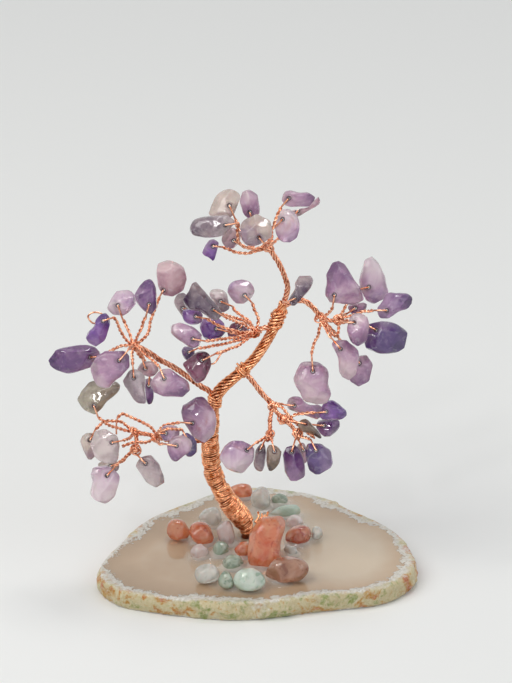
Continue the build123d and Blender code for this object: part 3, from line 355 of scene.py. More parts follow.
CHIPS = [
    Chip("top_chip_1", "top", "crown", (230, 208),
         [(257, 251, -0.03), (243, 240, -0.12), (237, 224, -0.12)], "beige", (0.4, -1), 0.4),
    Chip("top_chip_2", "top", "crown", (250, 215), [(262, 243, 0.02), (254, 229, 0.03)], "mauve",
         (0.6, -1), -0.1),
    Chip("top_chip_3", "top", "crown", (259, 240), [(267, 250, 0.18)], "beige", (-0.5, -0.6), -0.4),
    Chip("top_chip_4", "top", "crown", (226, 228),
         [(252, 251, 0.05), (238.5, 243, 0.1), (238, 226, 0.17)], "smoke", (-1, -0.1), 0.2),
    Chip("top_small_chips", "top", "crown", (234, 243), [(254, 252, 0.01), (245, 250, 0.02)], "pink",
         (0, -1), 0.1),
    Chip("top_small_chips", "top", "crown", (214, 248),
         [(252, 254, -0.06), (238, 254, -0.1), (224, 249, -0.08)], "violet", (0, -1)),
    Chip("top_chip_5", "top", "crown", (288, 202), [(269, 240, 0.1), (274, 226, 0.15), (279, 212, 0.17)],
         "mauve", (1, -0.2), 0.1),
    Chip("top_small_chips", "top", "crown", (297, 213),
         [(274, 244, -0.08), (285, 233, -0.14), (291, 222, -0.15)], "pink", (1, 0.6), 0.1),
    Chip("top_chip_6", "top", "crown", (282, 222), [(271, 242, 0.01), (272, 232, 0.01)], "lilac",
         (0.3, -1), 0.5),
    Chip("trunk_chip", "top", "root", (294, 299), [(284, 304, -0.01)], "smoke", (-0.4, -1), -0.2),
    Chip("right_chip_1", "right", "first", (333, 296), [(327, 314, 0.08), (331, 309, 0.16)], "mauve",
         (-0.3, 1), -0.2),
    Chip("right_chip_2", "right", "second", (367, 288), [(345, 305, -0.05), (354, 291, -0.05)], "lilac",
         (0.4, -1), 0.3),
    Chip("right_chip_3", "right", "second", (384, 311),
         [(350, 316, 0.05), (362, 312, 0.09), (371, 311, 0.12)], "purple", (1, 0.2), 0.5),
    Chip("right_small_chips", "right", "second", (354, 309), [(341, 317, -0.1), (345, 315, -0.18)],
         "mauve"),
    Chip("right_chip_4", "right", "second", (352, 323), [(342, 323, 0.17)], "mauve", (0.2, -1), 0.2),
    Chip("right_chip_5", "right", "second", (374, 330), [(350, 321, -0.03), (363, 324, -0.06)], "indigo",
         (0.6, -0.8), -0.1),
    Chip("right_chip_6", "right", "first", (339, 349), [(324, 329, 0.06), (330, 338, 0.12)], "mauve",
         (0.4, 0.7), 0.6, False, 1.6),
    Chip("right_small_chips", "right", "first", (358, 363),
         [(332, 331, -0.04), (342, 344, -0.08), (351, 352, -0.09)], "mauve", (0, -1), 0.1),
    Chip("right_hanging_chip", "right", "first", (312, 371),
         [(318, 331, -0.04), (313, 344, -0.1), (311, 356, -0.1)], "mauve", (0.5, 0.6), 0.6, True, 2.2),
    Chip("lower_right_chip_1", "lower_right", "first", (294, 405), [(283, 404, -0.08)], "mauve", (1, 0),
         -0.1),
    Chip("lower_right_chip_2", "lower_right", "second", (325, 411),
         [(295, 414, 0.08), (306, 412, 0.15), (314, 412, 0.15)], "violet", (1, 0), -0.3),
    Chip("lower_right_chip_3", "lower_right", "second", (323, 425),
         [(295, 422, -0.12), (307, 424, -0.17), (312, 424, -0.17)], "purple", (1, 0.2), 0.0),
    Chip("lower_right_small_chips", "lower_right", "second", (305, 423), [(295, 421, 0.06)], "brown",
         (1, 0)),
    Chip("lower_right_chip_4", "lower_right", "left", (247, 449), [(259, 439, 0.05)], "lilac", (0.1, 1),
         0.3),
    Chip("lower_right_small_chips", "lower_right", "left", (260, 449), [(266, 437, -0.11)], "smoke",
         (0.2, 1), -0.2),
    Chip("lower_right_small_chips", "lower_right", "left", (274, 450), [(271, 437, 0.09)], "brown",
         (-0.4, -1), 0.1),
    Chip("lower_right_chip_5", "lower_right", "right", (291, 451), [(295, 438, -0.07)], "purple",
         (-0.4, 0.8), 0.3, True),
    Chip("lower_right_chip_6", "lower_right", "right", (315, 449), [(304, 436, 0.07), (309, 437, 0.1)],
         "indigo", (-1, 0.2), 0.0),
    Chip("lower_right_small_chips", "lower_right", "right", (303, 449), [(298, 439, -0.2)], "pink"),
    Chip("middle_left_chip_1", "middle_left", "first", (245, 296), [(258, 320, 0.03), (257, 308, 0.06)],
         "lilac", (-0.8, 0.4), 0.3),
    Chip("middle_left_small_chips", "middle_left", "first", (221, 302),
         [(247, 320, -0.06), (236, 312, -0.1), (231, 306, -0.1)], "grey", (0, -1), 0.1),
    Chip("middle_left_chip_2", "middle_left", "first", (214, 310), [(242, 324, 0.1), (228, 319, 0.21)],
         "smoke", (-0.3, -0.8), -0.4),
    Chip("middle_left_small_chips", "middle_left", "first", (184, 309),
         [(245, 321, -0.09), (222, 315, -0.2), (204, 312, -0.18), (194, 311, -0.13)], "grey", (0, 1),
         0.3),
    Chip("middle_left_chip_3", "middle_left", "first", (197, 317),
         [(240, 332, 0.06), (222, 327, 0.08), (209, 319, 0.07)], "violet", (-1, 0), 0.3),
    Chip("middle_left_chip_4", "middle_left", "first", (217, 329), [(243, 334, -0.02), (229, 332, -0.08)],
         "violet", (0, -1), -0.1),
    Chip("middle_left_small_chips", "middle_left", "first", (240, 329),
         [(252, 325, -0.1), (247, 319, -0.18)], "wine", (1, -0.3), -0.1),
    Chip("middle_left_chip_5", "middle_left", "first", (194, 339),
         [(237, 337, 0.1), (217, 340, 0.2), (206, 341, 0.22)], "mauve", (0.7, -0.5), 0.1),
    Chip("middle_left_small_chips", "middle_left", "first", (190, 352),
         [(236, 341, -0.03), (212, 346, -0.05), (199, 348, -0.05)], "indigo", (0, -1)),
    Chip("middle_left_chip_6", "middle_left", "first", (203, 360),
         [(240, 344, 0.03), (224, 351, 0.09), (213, 355, 0.1)], "wine", (0.3, 0.8), 0.2, True),
    Chip("upper_left_chip_1", "upper_left", "first", (165, 291),
         [(149, 335, -0.02), (153, 318, -0.06), (158, 303, -0.06)], "pink", (0.2, -1), 0.1),
    Chip("upper_left_chip_2", "upper_left", "first", (151, 305), [(142, 331, 0.08), (147, 319, 0.14)],
         "purple", (1, 0.3), 0.0),
    Chip("upper_left_chip_3", "upper_left", "first", (120, 306),
         [(131, 333, -0.01), (127, 323, -0.05), (124, 318, -0.05)], "lilac", (1, 0.3), 0.3),
    Chip("upper_left_chip_4", "upper_left", "first", (106, 321),
         [(126, 337, 0.04), (119, 322, 0.12), (115, 318, 0.13)], "violet", (0.3, 1), -0.2),
    Chip("upper_left_chip_5", "upper_left", "first", (93, 357),
         [(124, 346, -0.01), (113, 351, -0.04), (108, 356, -0.04)], "purple", (-1, 0.3), 0.1),
    Chip("upper_left_chip_6", "upper_left", "first", (122, 360), [(132, 348, 0.2)], "mauve", (1, 0.1),
         -0.1, False, 1.6),
    Chip("lower_left_chip_1", "lower_left", "second", (96, 405),
         [(122, 428, 0.0), (109, 423, 0.05), (101, 419, 0.05)], "moss", (1, 0.5), 0.2),
    Chip("upper_left_small_chips", "upper_left", "first", (136, 377), [(134, 356, 0.07), (135, 365, 0.1)],
         "grey", (0.2, -1), -0.2),
    Chip("upper_left_small_chips", "upper_left", "first", (147, 368),
         [(139, 353, -0.05), (144, 359, -0.09)], "pink"),
    Chip("upper_left_small_chips", "upper_left", "first", (150, 385),
         [(145, 358, -0.21), (151, 374, -0.22)], "purple"),
    Chip("upper_left_chip_7", "upper_left", "first", (166, 378), [(150, 356, 0.08), (161, 366, 0.15)],
         "mauve", (0.8, -0.4), 0.1),
    Chip("lower_left_chip_2", "lower_left", "first", (193, 422), [(165, 425, 0.06), (179, 421, 0.08)],
         "mauve", (-0.7, 0.7), 0.0),
    Chip("lower_left_small_chips", "lower_left", "first", (167, 432), [(157, 432, 0.17)], "lilac"),
    Chip("lower_left_chip_3", "lower_left", "first", (178, 444), [(160, 441, 0.28), (165, 442, 0.36)],
         "mauve", (-0.4, -1), 0.1),
    Chip("lower_left_small_chips", "lower_left", "first", (189, 438),
         [(160, 431, 0.18), (170, 427, 0.28), (183, 428, 0.22)], "indigo", (1, 0)),
    Chip("lower_left_chip_4", "lower_left", "second", (114, 441), [(131, 437, 0.14), (126, 439, 0.2)],
         "grey", (1, 0), 0.8),
    Chip("lower_left_small_chips", "lower_left", "second", (92, 439),
         [(123, 421, 0.02), (108, 420, 0.02), (98, 427, 0.02)], "beige", (0, -1), 0.2),
    Chip("lower_left_small_chips", "lower_left", "low", (112, 465),
         [(129, 454, -0.09), (123, 461, -0.12)], "beige"),
    Chip("lower_left_chip_5", "lower_left", "low", (109, 474), [(128, 455, 0.04), (119, 463, 0.05)],
         "lilac", (0.2, 1), 0.8),
    Chip("lower_left_chip_6", "lower_left", "low", (147, 462), [(138, 453, 0.02)], "grey", (0.6, 0.6),
         0.2, True),
]

# Stones round the foot: where each is seen, and its finish
BASE_FINISHES = [
    (Stone.CARNELIAN, (267, 540), "orange"), (Stone.CARNELIAN, (201, 532), "orange"),
    (Stone.CARNELIAN, (178, 529), "amber"), (Stone.CARNELIAN, (240, 492), "orange"),
    (Stone.CARNELIAN, (243, 548), "orange"), (Stone.CARNELIAN, (298, 534), "red"),
    (Stone.ROSE_QUARTZ, (286, 566), "tea"), (Stone.ROSE_QUARTZ, (227, 533), "rose"),
    (Stone.ROSE_QUARTZ, (200, 550), "rose"), (Stone.ROSE_QUARTZ, (295, 522), "rose"),
    (Stone.AVENTURINE, (250, 575), "mint"), (Stone.AVENTURINE, (233, 560), "sage"),
    (Stone.AVENTURINE, (221, 547), "sage"), (Stone.AVENTURINE, (227, 576), "sage"),
    (Stone.AVENTURINE, (280, 500), "sage"), (Stone.AVENTURINE, (285, 511), "mint"),
    (Stone.CLEAR_QUARTZ, (207, 570), "ice"), (Stone.CLEAR_QUARTZ, (210, 516), "ice"),
    (Stone.CLEAR_QUARTZ, (261, 499), "ice"), (Stone.CLEAR_QUARTZ, (291, 549), "ice"),
    (Stone.CLEAR_QUARTZ, (317, 532), "ice"),
]

# The trunk's middle line: u, v, depth share and outer width in millimetres
WOUND_LINE = [
    (246, 537, 0.00, 3.96), (246.5, 530, 0.00, 4.08), (243, 520, -0.005, 5.76),
    (235.5, 510, -0.01, 6.12), (227.5, 500, -0.015, 5.64), (220.5, 488, -0.02, 5.16),
    (214.5, 475, -0.025, 5.28), (212, 465, -0.03, 5.04), (211, 455, -0.035, 5.28),
    (211, 443, -0.04, 4.80), (212, 431, -0.045, 3.96), (213.5, 420, -0.05, 3.60),
]
ROPE_LINE = [
    (215, 408, -0.055, 2.64), (216, 397, -0.06, 3.72), (222, 388, -0.065, 3.84),
    (232, 379, -0.07, 3.48), (243, 370, -0.075, 3.24), (253, 360, -0.08, 3.24),
    (262, 348, -0.085, 3.24), (270, 335, -0.09, 3.12), (277, 321, -0.095, 3.00),
    (281, 310, -0.10, 2.76), (283, 303, -0.10, 2.64),
]


# Node trees and materials


def linear(code: str) -> tuple:
    """Turn an sRGB hex code into a linear colour with full alpha.

    Args:
        code: the colour, as a hash and six hex digits.

    Returns:
        Its red, green, blue and alpha.
    """
    shares = [int(code[i : i + 2], 16) / 255 for i in (1, 3, 5)]
    turned = [c / 12.92 if c <= 0.04045 else ((c + 0.055) / 1.055) ** 2.4 for c in shares]
    return (*turned, 1.0)


def lumps(size_mm: float) -> float:
    """Return the scale of a noise whose lumps are about size_mm wide."""
    return 1 / (size_mm * MM)


class Nodes:
    """A node tree, built one node at a time."""

    def __init__(self, tree: bpy.types.NodeTree) -> None:
        """Empty the tree."""
        self.tree = tree
        tree.nodes.clear()

    def add(self, kind: str, inputs: dict | None = None, stops: list | None = None, out: int | str = 0,
            **settings: Any) -> bpy.types.NodeSocket | None:
        """Add one node with its settings and links.

        Args:
            kind: the node's type, without the prefix that all types share.
            inputs: sockets by name or place, each with a constant or with another node's output.
            stops: a colour ramp's stops, as places and hex codes.
            out: the output to return, by place or name.
            settings: the node's own properties.

        Returns:
            The output, or None where the node has none.
        """
        node = self.tree.nodes.new("ShaderNode" + kind)
        for name, value in settings.items():
            setattr(node, name, value)
        for key, value in (inputs or {}).items():
            socket = node.inputs[key]
            if isinstance(value, bpy.types.NodeSocket):
                self.tree.links.new(value, socket)
            else:
                socket.default_value = value
        if stops:
            elements = node.color_ramp.elements
            for place, code in stops[len(elements):]:
                elements.new(place)
            for element, (place, code) in zip(elements, stops):
                element.position = place
                element.color = linear(code)
        return node.outputs[out] if node.outputs else None


def start_material(name: str) -> tuple:
    """Start a material.

    Args:
        name: its name.

    Returns:
        The material, its empty nodes and their Object coordinates.
    """
    material = bpy.data.materials.new(name)
    material.use_nodes = True
    nodes = Nodes(material.node_tree)
    return material, nodes, nodes.add("TexCoord", out="Object")


@dataclass(frozen=True)
class Clouding:
    """How the colour lies in one chip, in metres."""

    centre: Vector
    heading: Vector
    half: float
    shift: float
    hole: Vector


def amethyst_material(name: str, finish: AmethystFinish, lie: Clouding) -> bpy.types.Material:
    """Make one chip's stone.

    Tumbled amethyst is quartz. It looks glassy and partly clear, with colour that lies in soft zones,
    white veils and a few dark specks. The drilled hole is ground, so it looks dull; the dark colour round it
    is painted shade.

    Args:
        name: the material's name.
        finish: its colours.
        lie: where the chip is and which way its colour deepens.

    Returns:
        The material.
    """
    material, nodes, place = start_material(name)
    local = nodes.add("VectorMath", {0: place, 1: lie.centre}, operation="SUBTRACT")
    along = nodes.add(
        "VectorMath", {0: local, 1: lie.heading / lie.half}, out="Value", operation="DOT_PRODUCT"
    )
    clouds = nodes.add(
        "TexNoise",
        {"Vector": place, "Scale": lumps(5.0), "Detail": 3.0, "Roughness": 0.55, "Distortion": 0.6},
    )
    clouds = nodes.add("Math", {0: clouds, 1: 0.5}, operation="SUBTRACT")
    border = 0.5 - finish.end_share * lie.shift
    zone = nodes.add("Math", {0: along, 1: finish.end_share, 2: border}, operation="MULTIPLY_ADD")
    zone = nodes.add(
        "Math", {0: clouds, 1: finish.cloud * 2.2, 2: zone}, operation="MULTIPLY_ADD", use_clamp=True
    )
    colour = nodes.add(
        "ValToRGB", {0: zone}, [(0.12, finish.pale), (0.5, finish.middle), (0.88, finish.deep)]
    )
    wisps = nodes.add(
        "TexNoise",
        {"Vector": place, "Scale": lumps(2.6), "Detail": 4.0, "Roughness": 0.6, "Distortion": 1.6},
    )
    wisps = nodes.add("MapRange", {0: wisps, 1: 0.55, 2: 0.72, 3: 0.0, 4: finish.veil})
    colour = nodes.add("Mix", {0: wisps, 6: colour, 7: linear(finish.veil_colour)}, out=2, data_type="RGBA")
    if finish.specks:
        dots = nodes.add("TexNoise", {"Vector": place, "Scale": lumps(0.9), "Detail": 2.0})
        dots = nodes.add("MapRange", {0: dots, 1: 0.64, 2: 0.72, 3: 0.0, 4: finish.specks})
        speck = linear(finish.speck_colour)
        colour = nodes.add("Mix", {0: dots, 6: colour, 7: speck}, out=2, data_type="RGBA")
    away = nodes.add("VectorMath", {0: place, 1: lie.hole}, operation="SUBTRACT")
    away = nodes.add("VectorMath", {0: away, 1: PICTURE.near}, operation="CROSS_PRODUCT")
    away = nodes.add("VectorMath", {0: away}, out="Value", operation="LENGTH")
    bore = nodes.add(
        "MapRange", {0: away, 1: finish.bore_radius * MM, 2: finish.bore_fade * MM, 3: 1.0, 4: 0.0}
    )
    # Painted shade: the colour darkens towards the bore's dark colour round the hole.
    colour = nodes.add("Mix", {0: bore, 6: colour, 7: linear(finish.bore_shade_colour)}, out=2, data_type="RGBA")
    whole = nodes.add("Math", {0: 1.0, 1: bore}, operation="SUBTRACT", use_clamp=True)
    ripples = nodes.add("TexNoise", {"Vector": place, "Scale": lumps(1.6), "Detail": 2.0})
    surface = nodes.add(
        "BsdfPrincipled",
        {
            "Base Color": colour,
            "IOR": QUARTZ_IOR,
            "Roughness": nodes.add(
                "Math", {0: bore, 1: finish.bore_roughness, 2: finish.roughness}, operation="MULTIPLY_ADD"
            ),
            "Normal": nodes.add("Bump", {"Height": ripples, "Strength": 0.22, "Distance": 0.25 * MM}),
            "Transmission Weight": nodes.add(
                "Math", {0: whole, 1: finish.transmission}, operation="MULTIPLY"
            ),
            "Subsurface Weight": 0.35,
            "Subsurface Radius": (1.0, 0.7, 1.0),
            "Subsurface Scale": 1.6 * MM,
            "Coat Weight": nodes.add("Math", {0: whole, 1: finish.coat}, operation="MULTIPLY"),
            "Coat Roughness": 0.03,
        },
    )
    nodes.add("OutputMaterial", {"Surface": surface})
    return material


def stone_material(name: str, finish: StoneFinish) -> bpy.types.Material:
    """Make one tumbled stone's finish.

    A tumbled and glued stone looks wet, clouded and partly clear, with patches of a deeper colour.

    Args:
        name: the material's name.
        finish: its colours.

    Returns:
        The material.
    """
    material, nodes, place = start_material(name)
    clouds = nodes.add(
        "TexNoise",
        {"Vector": place, "Scale": lumps(5.5), "Detail": 3.0, "Roughness": 0.6, "Distortion": 0.8},
    )
    colour = nodes.add("ValToRGB", {0: clouds}, [(0.36, finish.pale), (0.66, finish.deep)])
    edge = 0.62 - 0.3 * finish.blotch_share
    blotch = nodes.add(
        "TexNoise",
        {"Vector": place, "Scale": lumps(2.4), "Detail": 4.0, "Roughness": 0.6, "Distortion": 0.9},
    )
    blotch = nodes.add("MapRange", {0: blotch, 1: edge, 2: edge + 0.1, 3: 0.0, 4: 0.75})
    colour = nodes.add("Mix", {0: blotch, 6: colour, 7: linear(finish.blotch)}, out=2, data_type="RGBA")
    ripples = nodes.add("TexNoise", {"Vector": place, "Scale": lumps(2.0), "Detail": 2.0})
    surface = nodes.add(
        "BsdfPrincipled",
        {
            "Base Color": colour,
            "Roughness": finish.roughness,
            "IOR": QUARTZ_IOR,
            "Normal": nodes.add("Bump", {"Height": ripples, "Strength": 0.3, "Distance": 0.4 * MM}),
            "Transmission Weight": finish.transmission,
            "Subsurface Weight": 0.5,
            "Subsurface Radius": (1.0, 0.6, 0.5),
            "Subsurface Scale": 1.4 * MM,
            "Coat Weight": 0.6,
            "Coat Roughness": 0.03,
        },
    )
    nodes.add("OutputMaterial", {"Surface": surface})
    return material


def copper_material(name: str, finish: CopperFinish) -> bpy.types.Material:
    """Make bare copper wire.

    Drawn copper has a soft metallic gleam, and looks redder where it has tarnished.

    Args:
        name: the material's name.
        finish: its colours.

    Returns:
        The material.
    """
    material, nodes, place = start_material(name)
    tarnish = nodes.add("TexNoise", {"Vector": place, "Scale": lumps(1.3), "Detail": 3.0, "Roughness": 0.6})
    colour = nodes.add("ValToRGB", {0: tarnish}, [(0.36, finish.dark), (0.56, finish.bright)])
    surface = nodes.add(
        "BsdfPrincipled", {"Base Color": colour, "Metallic": 1.0, "Roughness": finish.roughness}
    )
    nodes.add("OutputMaterial", {"Surface": surface})
    return material


def agate_material(finish: AgateFinish) -> bpy.types.Material:
    """Make the slice.

    Its sawn and polished field looks waxy and faintly clear. A white sugary band of small crystals lies
    round it, and the rind outside is rough, with iron and moss coloured stains.

    Args:
        finish: its colours and bands.

    Returns:
        The material.
    """
    material, nodes, place = start_material("agate_polished_with_rind")
    rim = nodes.add("Attribute", out="Fac", attribute_name="rim_mm")
    across = nodes.add("SeparateXYZ", {0: place})
    ragged = nodes.add(
        "TexNoise",
        {"Vector": place, "Scale": lumps(2.2), "Detail": 5.0, "Roughness": 0.65, "Distortion": 0.6},
    )
    ragged = nodes.add("Math", {0: ragged, 1: 0.5}, operation="SUBTRACT")
    wide = nodes.add("TexNoise", {"Vector": place, "Scale": lumps(11.0), "Detail": 2.0})
    wide = nodes.add("Math", {0: wide, 1: 0.5}, operation="SUBTRACT")
    edge = nodes.add("Math", {0: ragged, 1: 9.0, 2: rim}, operation="MULTIPLY_ADD")
    edge = nodes.add("Math", {0: wide, 1: 7.0, 2: edge}, operation="MULTIPLY_ADD")
    # The field is darkest close to the white band and lighter to the right, where light passes through.
    inward = nodes.add("MapRange", {0: rim, 1: 5.0, 2: 15.0, 3: 0.0, 4: 1.0})
    side = nodes.add("MapRange", {0: across, 1: -20 * MM, 2: 30 * MM, 3: 0.0, 4: 0.4})
    tone = nodes.add("Math", {0: inward, 1: 0.55, 2: side}, operation="MULTIPLY_ADD")
    tone = nodes.add("Math", {0: wide, 1: 0.5, 2: tone}, operation="MULTIPLY_ADD", use_clamp=True)
    colour = nodes.add(
        "ValToRGB", {0: tone},
        [(0.0, finish.field_dark), (0.45, finish.field_middle), (0.9, finish.field_light)],
    )
    grain = nodes.add("TexNoise", {"Vector": place, "Scale": lumps(0.8), "Detail": 4.0, "Roughness": 0.7})
    druse = nodes.add(
        "ValToRGB", {0: grain}, [(0.3, finish.druse_dark), (0.52, finish.druse), (0.72, finish.druse_light)]
    )
    # Green stains gather at the middle of the front, orange ones towards both ends.
    spread = nodes.add("Math", {0: across}, operation="ABSOLUTE")
    spread = nodes.add("MapRange", {0: spread, 1: 4 * MM, 2: 42 * MM, 3: -0.07, 4: 0.07})
    stain = nodes.add(
        "TexNoise",
        {"Vector": place, "Scale": lumps(5.5), "Detail": 6.0, "Roughness": 0.66, "Distortion": 0.5},
    )
    stain = nodes.add("Math", {0: stain, 1: spread}, operation="ADD")
    rind = nodes.add(
        "ValToRGB", {0: stain},
        [(0.37, finish.green), (0.45, finish.rind), (0.51, finish.rind), (0.57, finish.ochre),
         (0.65, finish.orange)],
    )
    chalk = nodes.add("MapRange", {0: grain, 1: 0.45, 2: 0.7, 3: 0.0, 4: 0.5})
    rind = nodes.add("Mix", {0: chalk, 6: rind, 7: linear(finish.rind_light)}, out=2, data_type="RGBA")
    is_druse = nodes.add(
        "MapRange", {0: edge, 1: finish.druse_width[0], 2: finish.druse_width[1], 3: 1.0, 4: 0.0}
    )
    is_rind = nodes.add(
        "MapRange", {0: edge, 1: finish.rind_width[0], 2: finish.rind_width[1], 3: 1.0, 4: 0.0}
    )
    colour = nodes.add("Mix", {0: is_druse, 6: colour, 7: druse}, out=2, data_type="RGBA")
    colour = nodes.add("Mix", {0: is_rind, 6: colour, 7: rind}, out=2, data_type="RGBA")
    rough = nodes.add("Math", {0: is_rind, 1: 0.25, 2: 0.1}, operation="MULTIPLY_ADD")
    rough = nodes.add("Math", {0: is_druse, 1: 0.22, 2: rough}, operation="MULTIPLY_ADD")
    height = nodes.add("Math", {0: is_druse, 1: is_rind}, operation="MAXIMUM")
    height = nodes.add("Math", {0: grain, 1: height}, operation="MULTIPLY")
    surface = nodes.add(
        "BsdfPrincipled",
        {
            "Base Color": colour,
            "Roughness": rough,
            "IOR": QUARTZ_IOR,
            "Normal": nodes.add("Bump", {"Height": height, "Strength": 0.8, "Distance": 0.5 * MM}),
            "Transmission Weight": 0.08,
            "Subsurface Weight": 0.4,
            "Subsurface Radius": (1.0, 0.8, 0.7),
            "Subsurface Scale": 2.0 * MM,
            "Coat Weight": 0.3,
            "Coat Roughness": 0.05,
        },
    )
    nodes.add("OutputMaterial", {"Surface": surface})
    return material


def glue_material() -> bpy.types.Material:
    """Make cured clear glue.

    It looks water clear, glossy and rippled, and fades out where the pool thins to nothing.

    Returns:
        The material.
    """
    material, nodes, place = start_material("clear_glue_cured")
    ripples = nodes.add("TexNoise", {"Vector": place, "Scale": lumps(3.5), "Detail": 2.0})
    depth = nodes.add("Attribute", out="Fac", attribute_name="depth_share")
    surface = nodes.add(
        "BsdfPrincipled",
        {
            "Base Color": linear("#E6E2DA"),
            "Roughness": 0.04,
            "IOR": GLUE_IOR,
            "Normal": nodes.add("Bump", {"Height": ripples, "Strength": 0.5, "Distance": 0.6 * MM}),
            "Alpha": nodes.add("Math", {0: depth, 1: 0.42}, operation="MULTIPLY"),
            "Coat Weight": 1.0,
            "Coat Roughness": 0.02,
        },
    )
    nodes.add("OutputMaterial", {"Surface": surface})
    return material


def floor_material() -> bpy.types.Material:
    """Make the floor.

    It is plain, pale and matt, and its far part shows the camera the same tone as the world.

    Returns:
        The material.
    """
    material, nodes, place = start_material("floor_pale_matt")
    matt = nodes.add("BsdfPrincipled", {"Base Color": linear("#EDEEEC"), "Roughness": 0.9})
    away = nodes.add("VectorMath", {0: place}, out="Value", operation="LENGTH")
    far = nodes.add("MapRange", {0: away, 1: 0.45, 2: 1.5, 3: 0.0, 4: 1.0}, interpolation_type="SMOOTHSTEP")
    seen = nodes.add("LightPath", out="Is Camera Ray")
    share = nodes.add("Math", {0: far, 1: seen}, operation="MULTIPLY")
    glow = nodes.add("Emission", {"Color": linear(BACKGROUND), "Strength": 1.0})
    surface = nodes.add("MixShader", {0: share, 1: matt, 2: glow})
    nodes.add("OutputMaterial", {"Surface": surface})
    return material


# Meshes and wires


def clamped(value: float, low: float = 0.0, high: float = 1.0) -> float:
    """Return a value kept between two limits."""
    return min(max(value, low), high)


def random_vector(draw: random.Random, reach: float) -> Vector:
    """Return a random vector whose parts lie within reach of zero."""
    return Vector([draw.uniform(-reach, reach) for _ in range(3)])


def on_circle(centre: Vector, side: Vector, front: Vector, radius: float, angle: float) -> Vector:
    """Return the point at an angle on the circle round a centre."""
    return centre + side * (radius * math.cos(angle)) + front * (radius * math.sin(angle))


def catmull(points: list[Vector], step: float) -> list[Vector]:
    """Lay a smooth curve through points.

    Args:
        points: what it passes through.
        step: about how far apart the curve's own points are.

    Returns:
        The curve's points.
    """
    out = []
    last = len(points) - 1
    for i in range(last):
        p0, p1, p2, p3 = points[max(i - 1, 0)], points[i], points[i + 1], points[min(i + 2, last)]
        count = max(1, round((p2 - p1).length / step))
        for j in range(count):
            t = j / count
            out.append(
                0.5 * (p1 * 2 + (p2 - p0) * t + (p0 * 2 - p1 * 5 + p2 * 4 - p3) * t * t
                       + (p1 * 3 - p0 - p2 * 3 + p3) * t * t * t)
            )
    out.append(points[-1].copy())
    return out


def frames(path: list[Vector], first_side: Vector | None = None) -> list[tuple]:
    """Carry a side and a front along a path without twist.

    Args:
        path: the path's points.
        first_side: the side at its start, or None to choose a level one.

    Returns:
        A side and a front for each point.
    """
    sides = []
    side = first_side or Vector((0, 0, 1)).cross(path[1] - path[0])
    if side.length < 1e-6:
        side = Vector((1, 0, 0))
    for i in range(len(path)):
        way = (path[min(i + 1, len(path) - 1)] - path[max(i - 1, 0)]).normalized()
        side = (side - way * side.dot(way)).normalized()
        sides.append((side.copy(), way.cross(side)))
    return sides


def arc_lengths(path: list[Vector]) -> list[float]:
    """Measure a path.

    Args:
        path: its points.

    Returns:
        The length from its start to each point.
    """
    out = [0.0]
    for a, b in zip(path, path[1:]):
        out.append(out[-1] + (b - a).length)
    return out


@dataclass(frozen=True)
class Lay:
    """How the strands of a rope lie: their distance from its middle line, and the length of a turn."""

    radius: float
    pitch: float
    strands: int = 2
    end_angle: float = 0.0
    loose: float = 0.0
    seed: int = 0
    stray_length: float = 3.2
    swirl: float = 1.2

    def along(self, path: list[Vector], radii: list[float] | None = None) -> list[list[Vector]]:
        """Lay the strands along a path, so that the first one ends at the end angle.

        Args:
            path: the rope's middle line.
            radii: the distance at each point, where it isn't the same all along.

        Returns:
            A list of points for each strand.
        """
        lengths = arc_lengths(path)
        sides = frames(path)
        out = []
        for k in range(self.strands):
            strand = []
            for i, p in enumerate(path):
                left = (lengths[-1] - lengths[i]) / self.pitch
                angle = self.end_angle + math.tau * (k / self.strands - left)
                r = radii[i] if radii else self.radius
                if self.loose:
                    spot = Vector((lengths[i] / self.stray_length, k * 3.7 + 0.3, self.seed * 1.9))
                    stray = noise.noise_vector(spot)
                    r *= 1 + self.loose * stray.x
                    angle += self.loose * self.swirl * stray.y
                strand.append(on_circle(p, *sides[i], r, angle))
            out.append(strand)
        return out


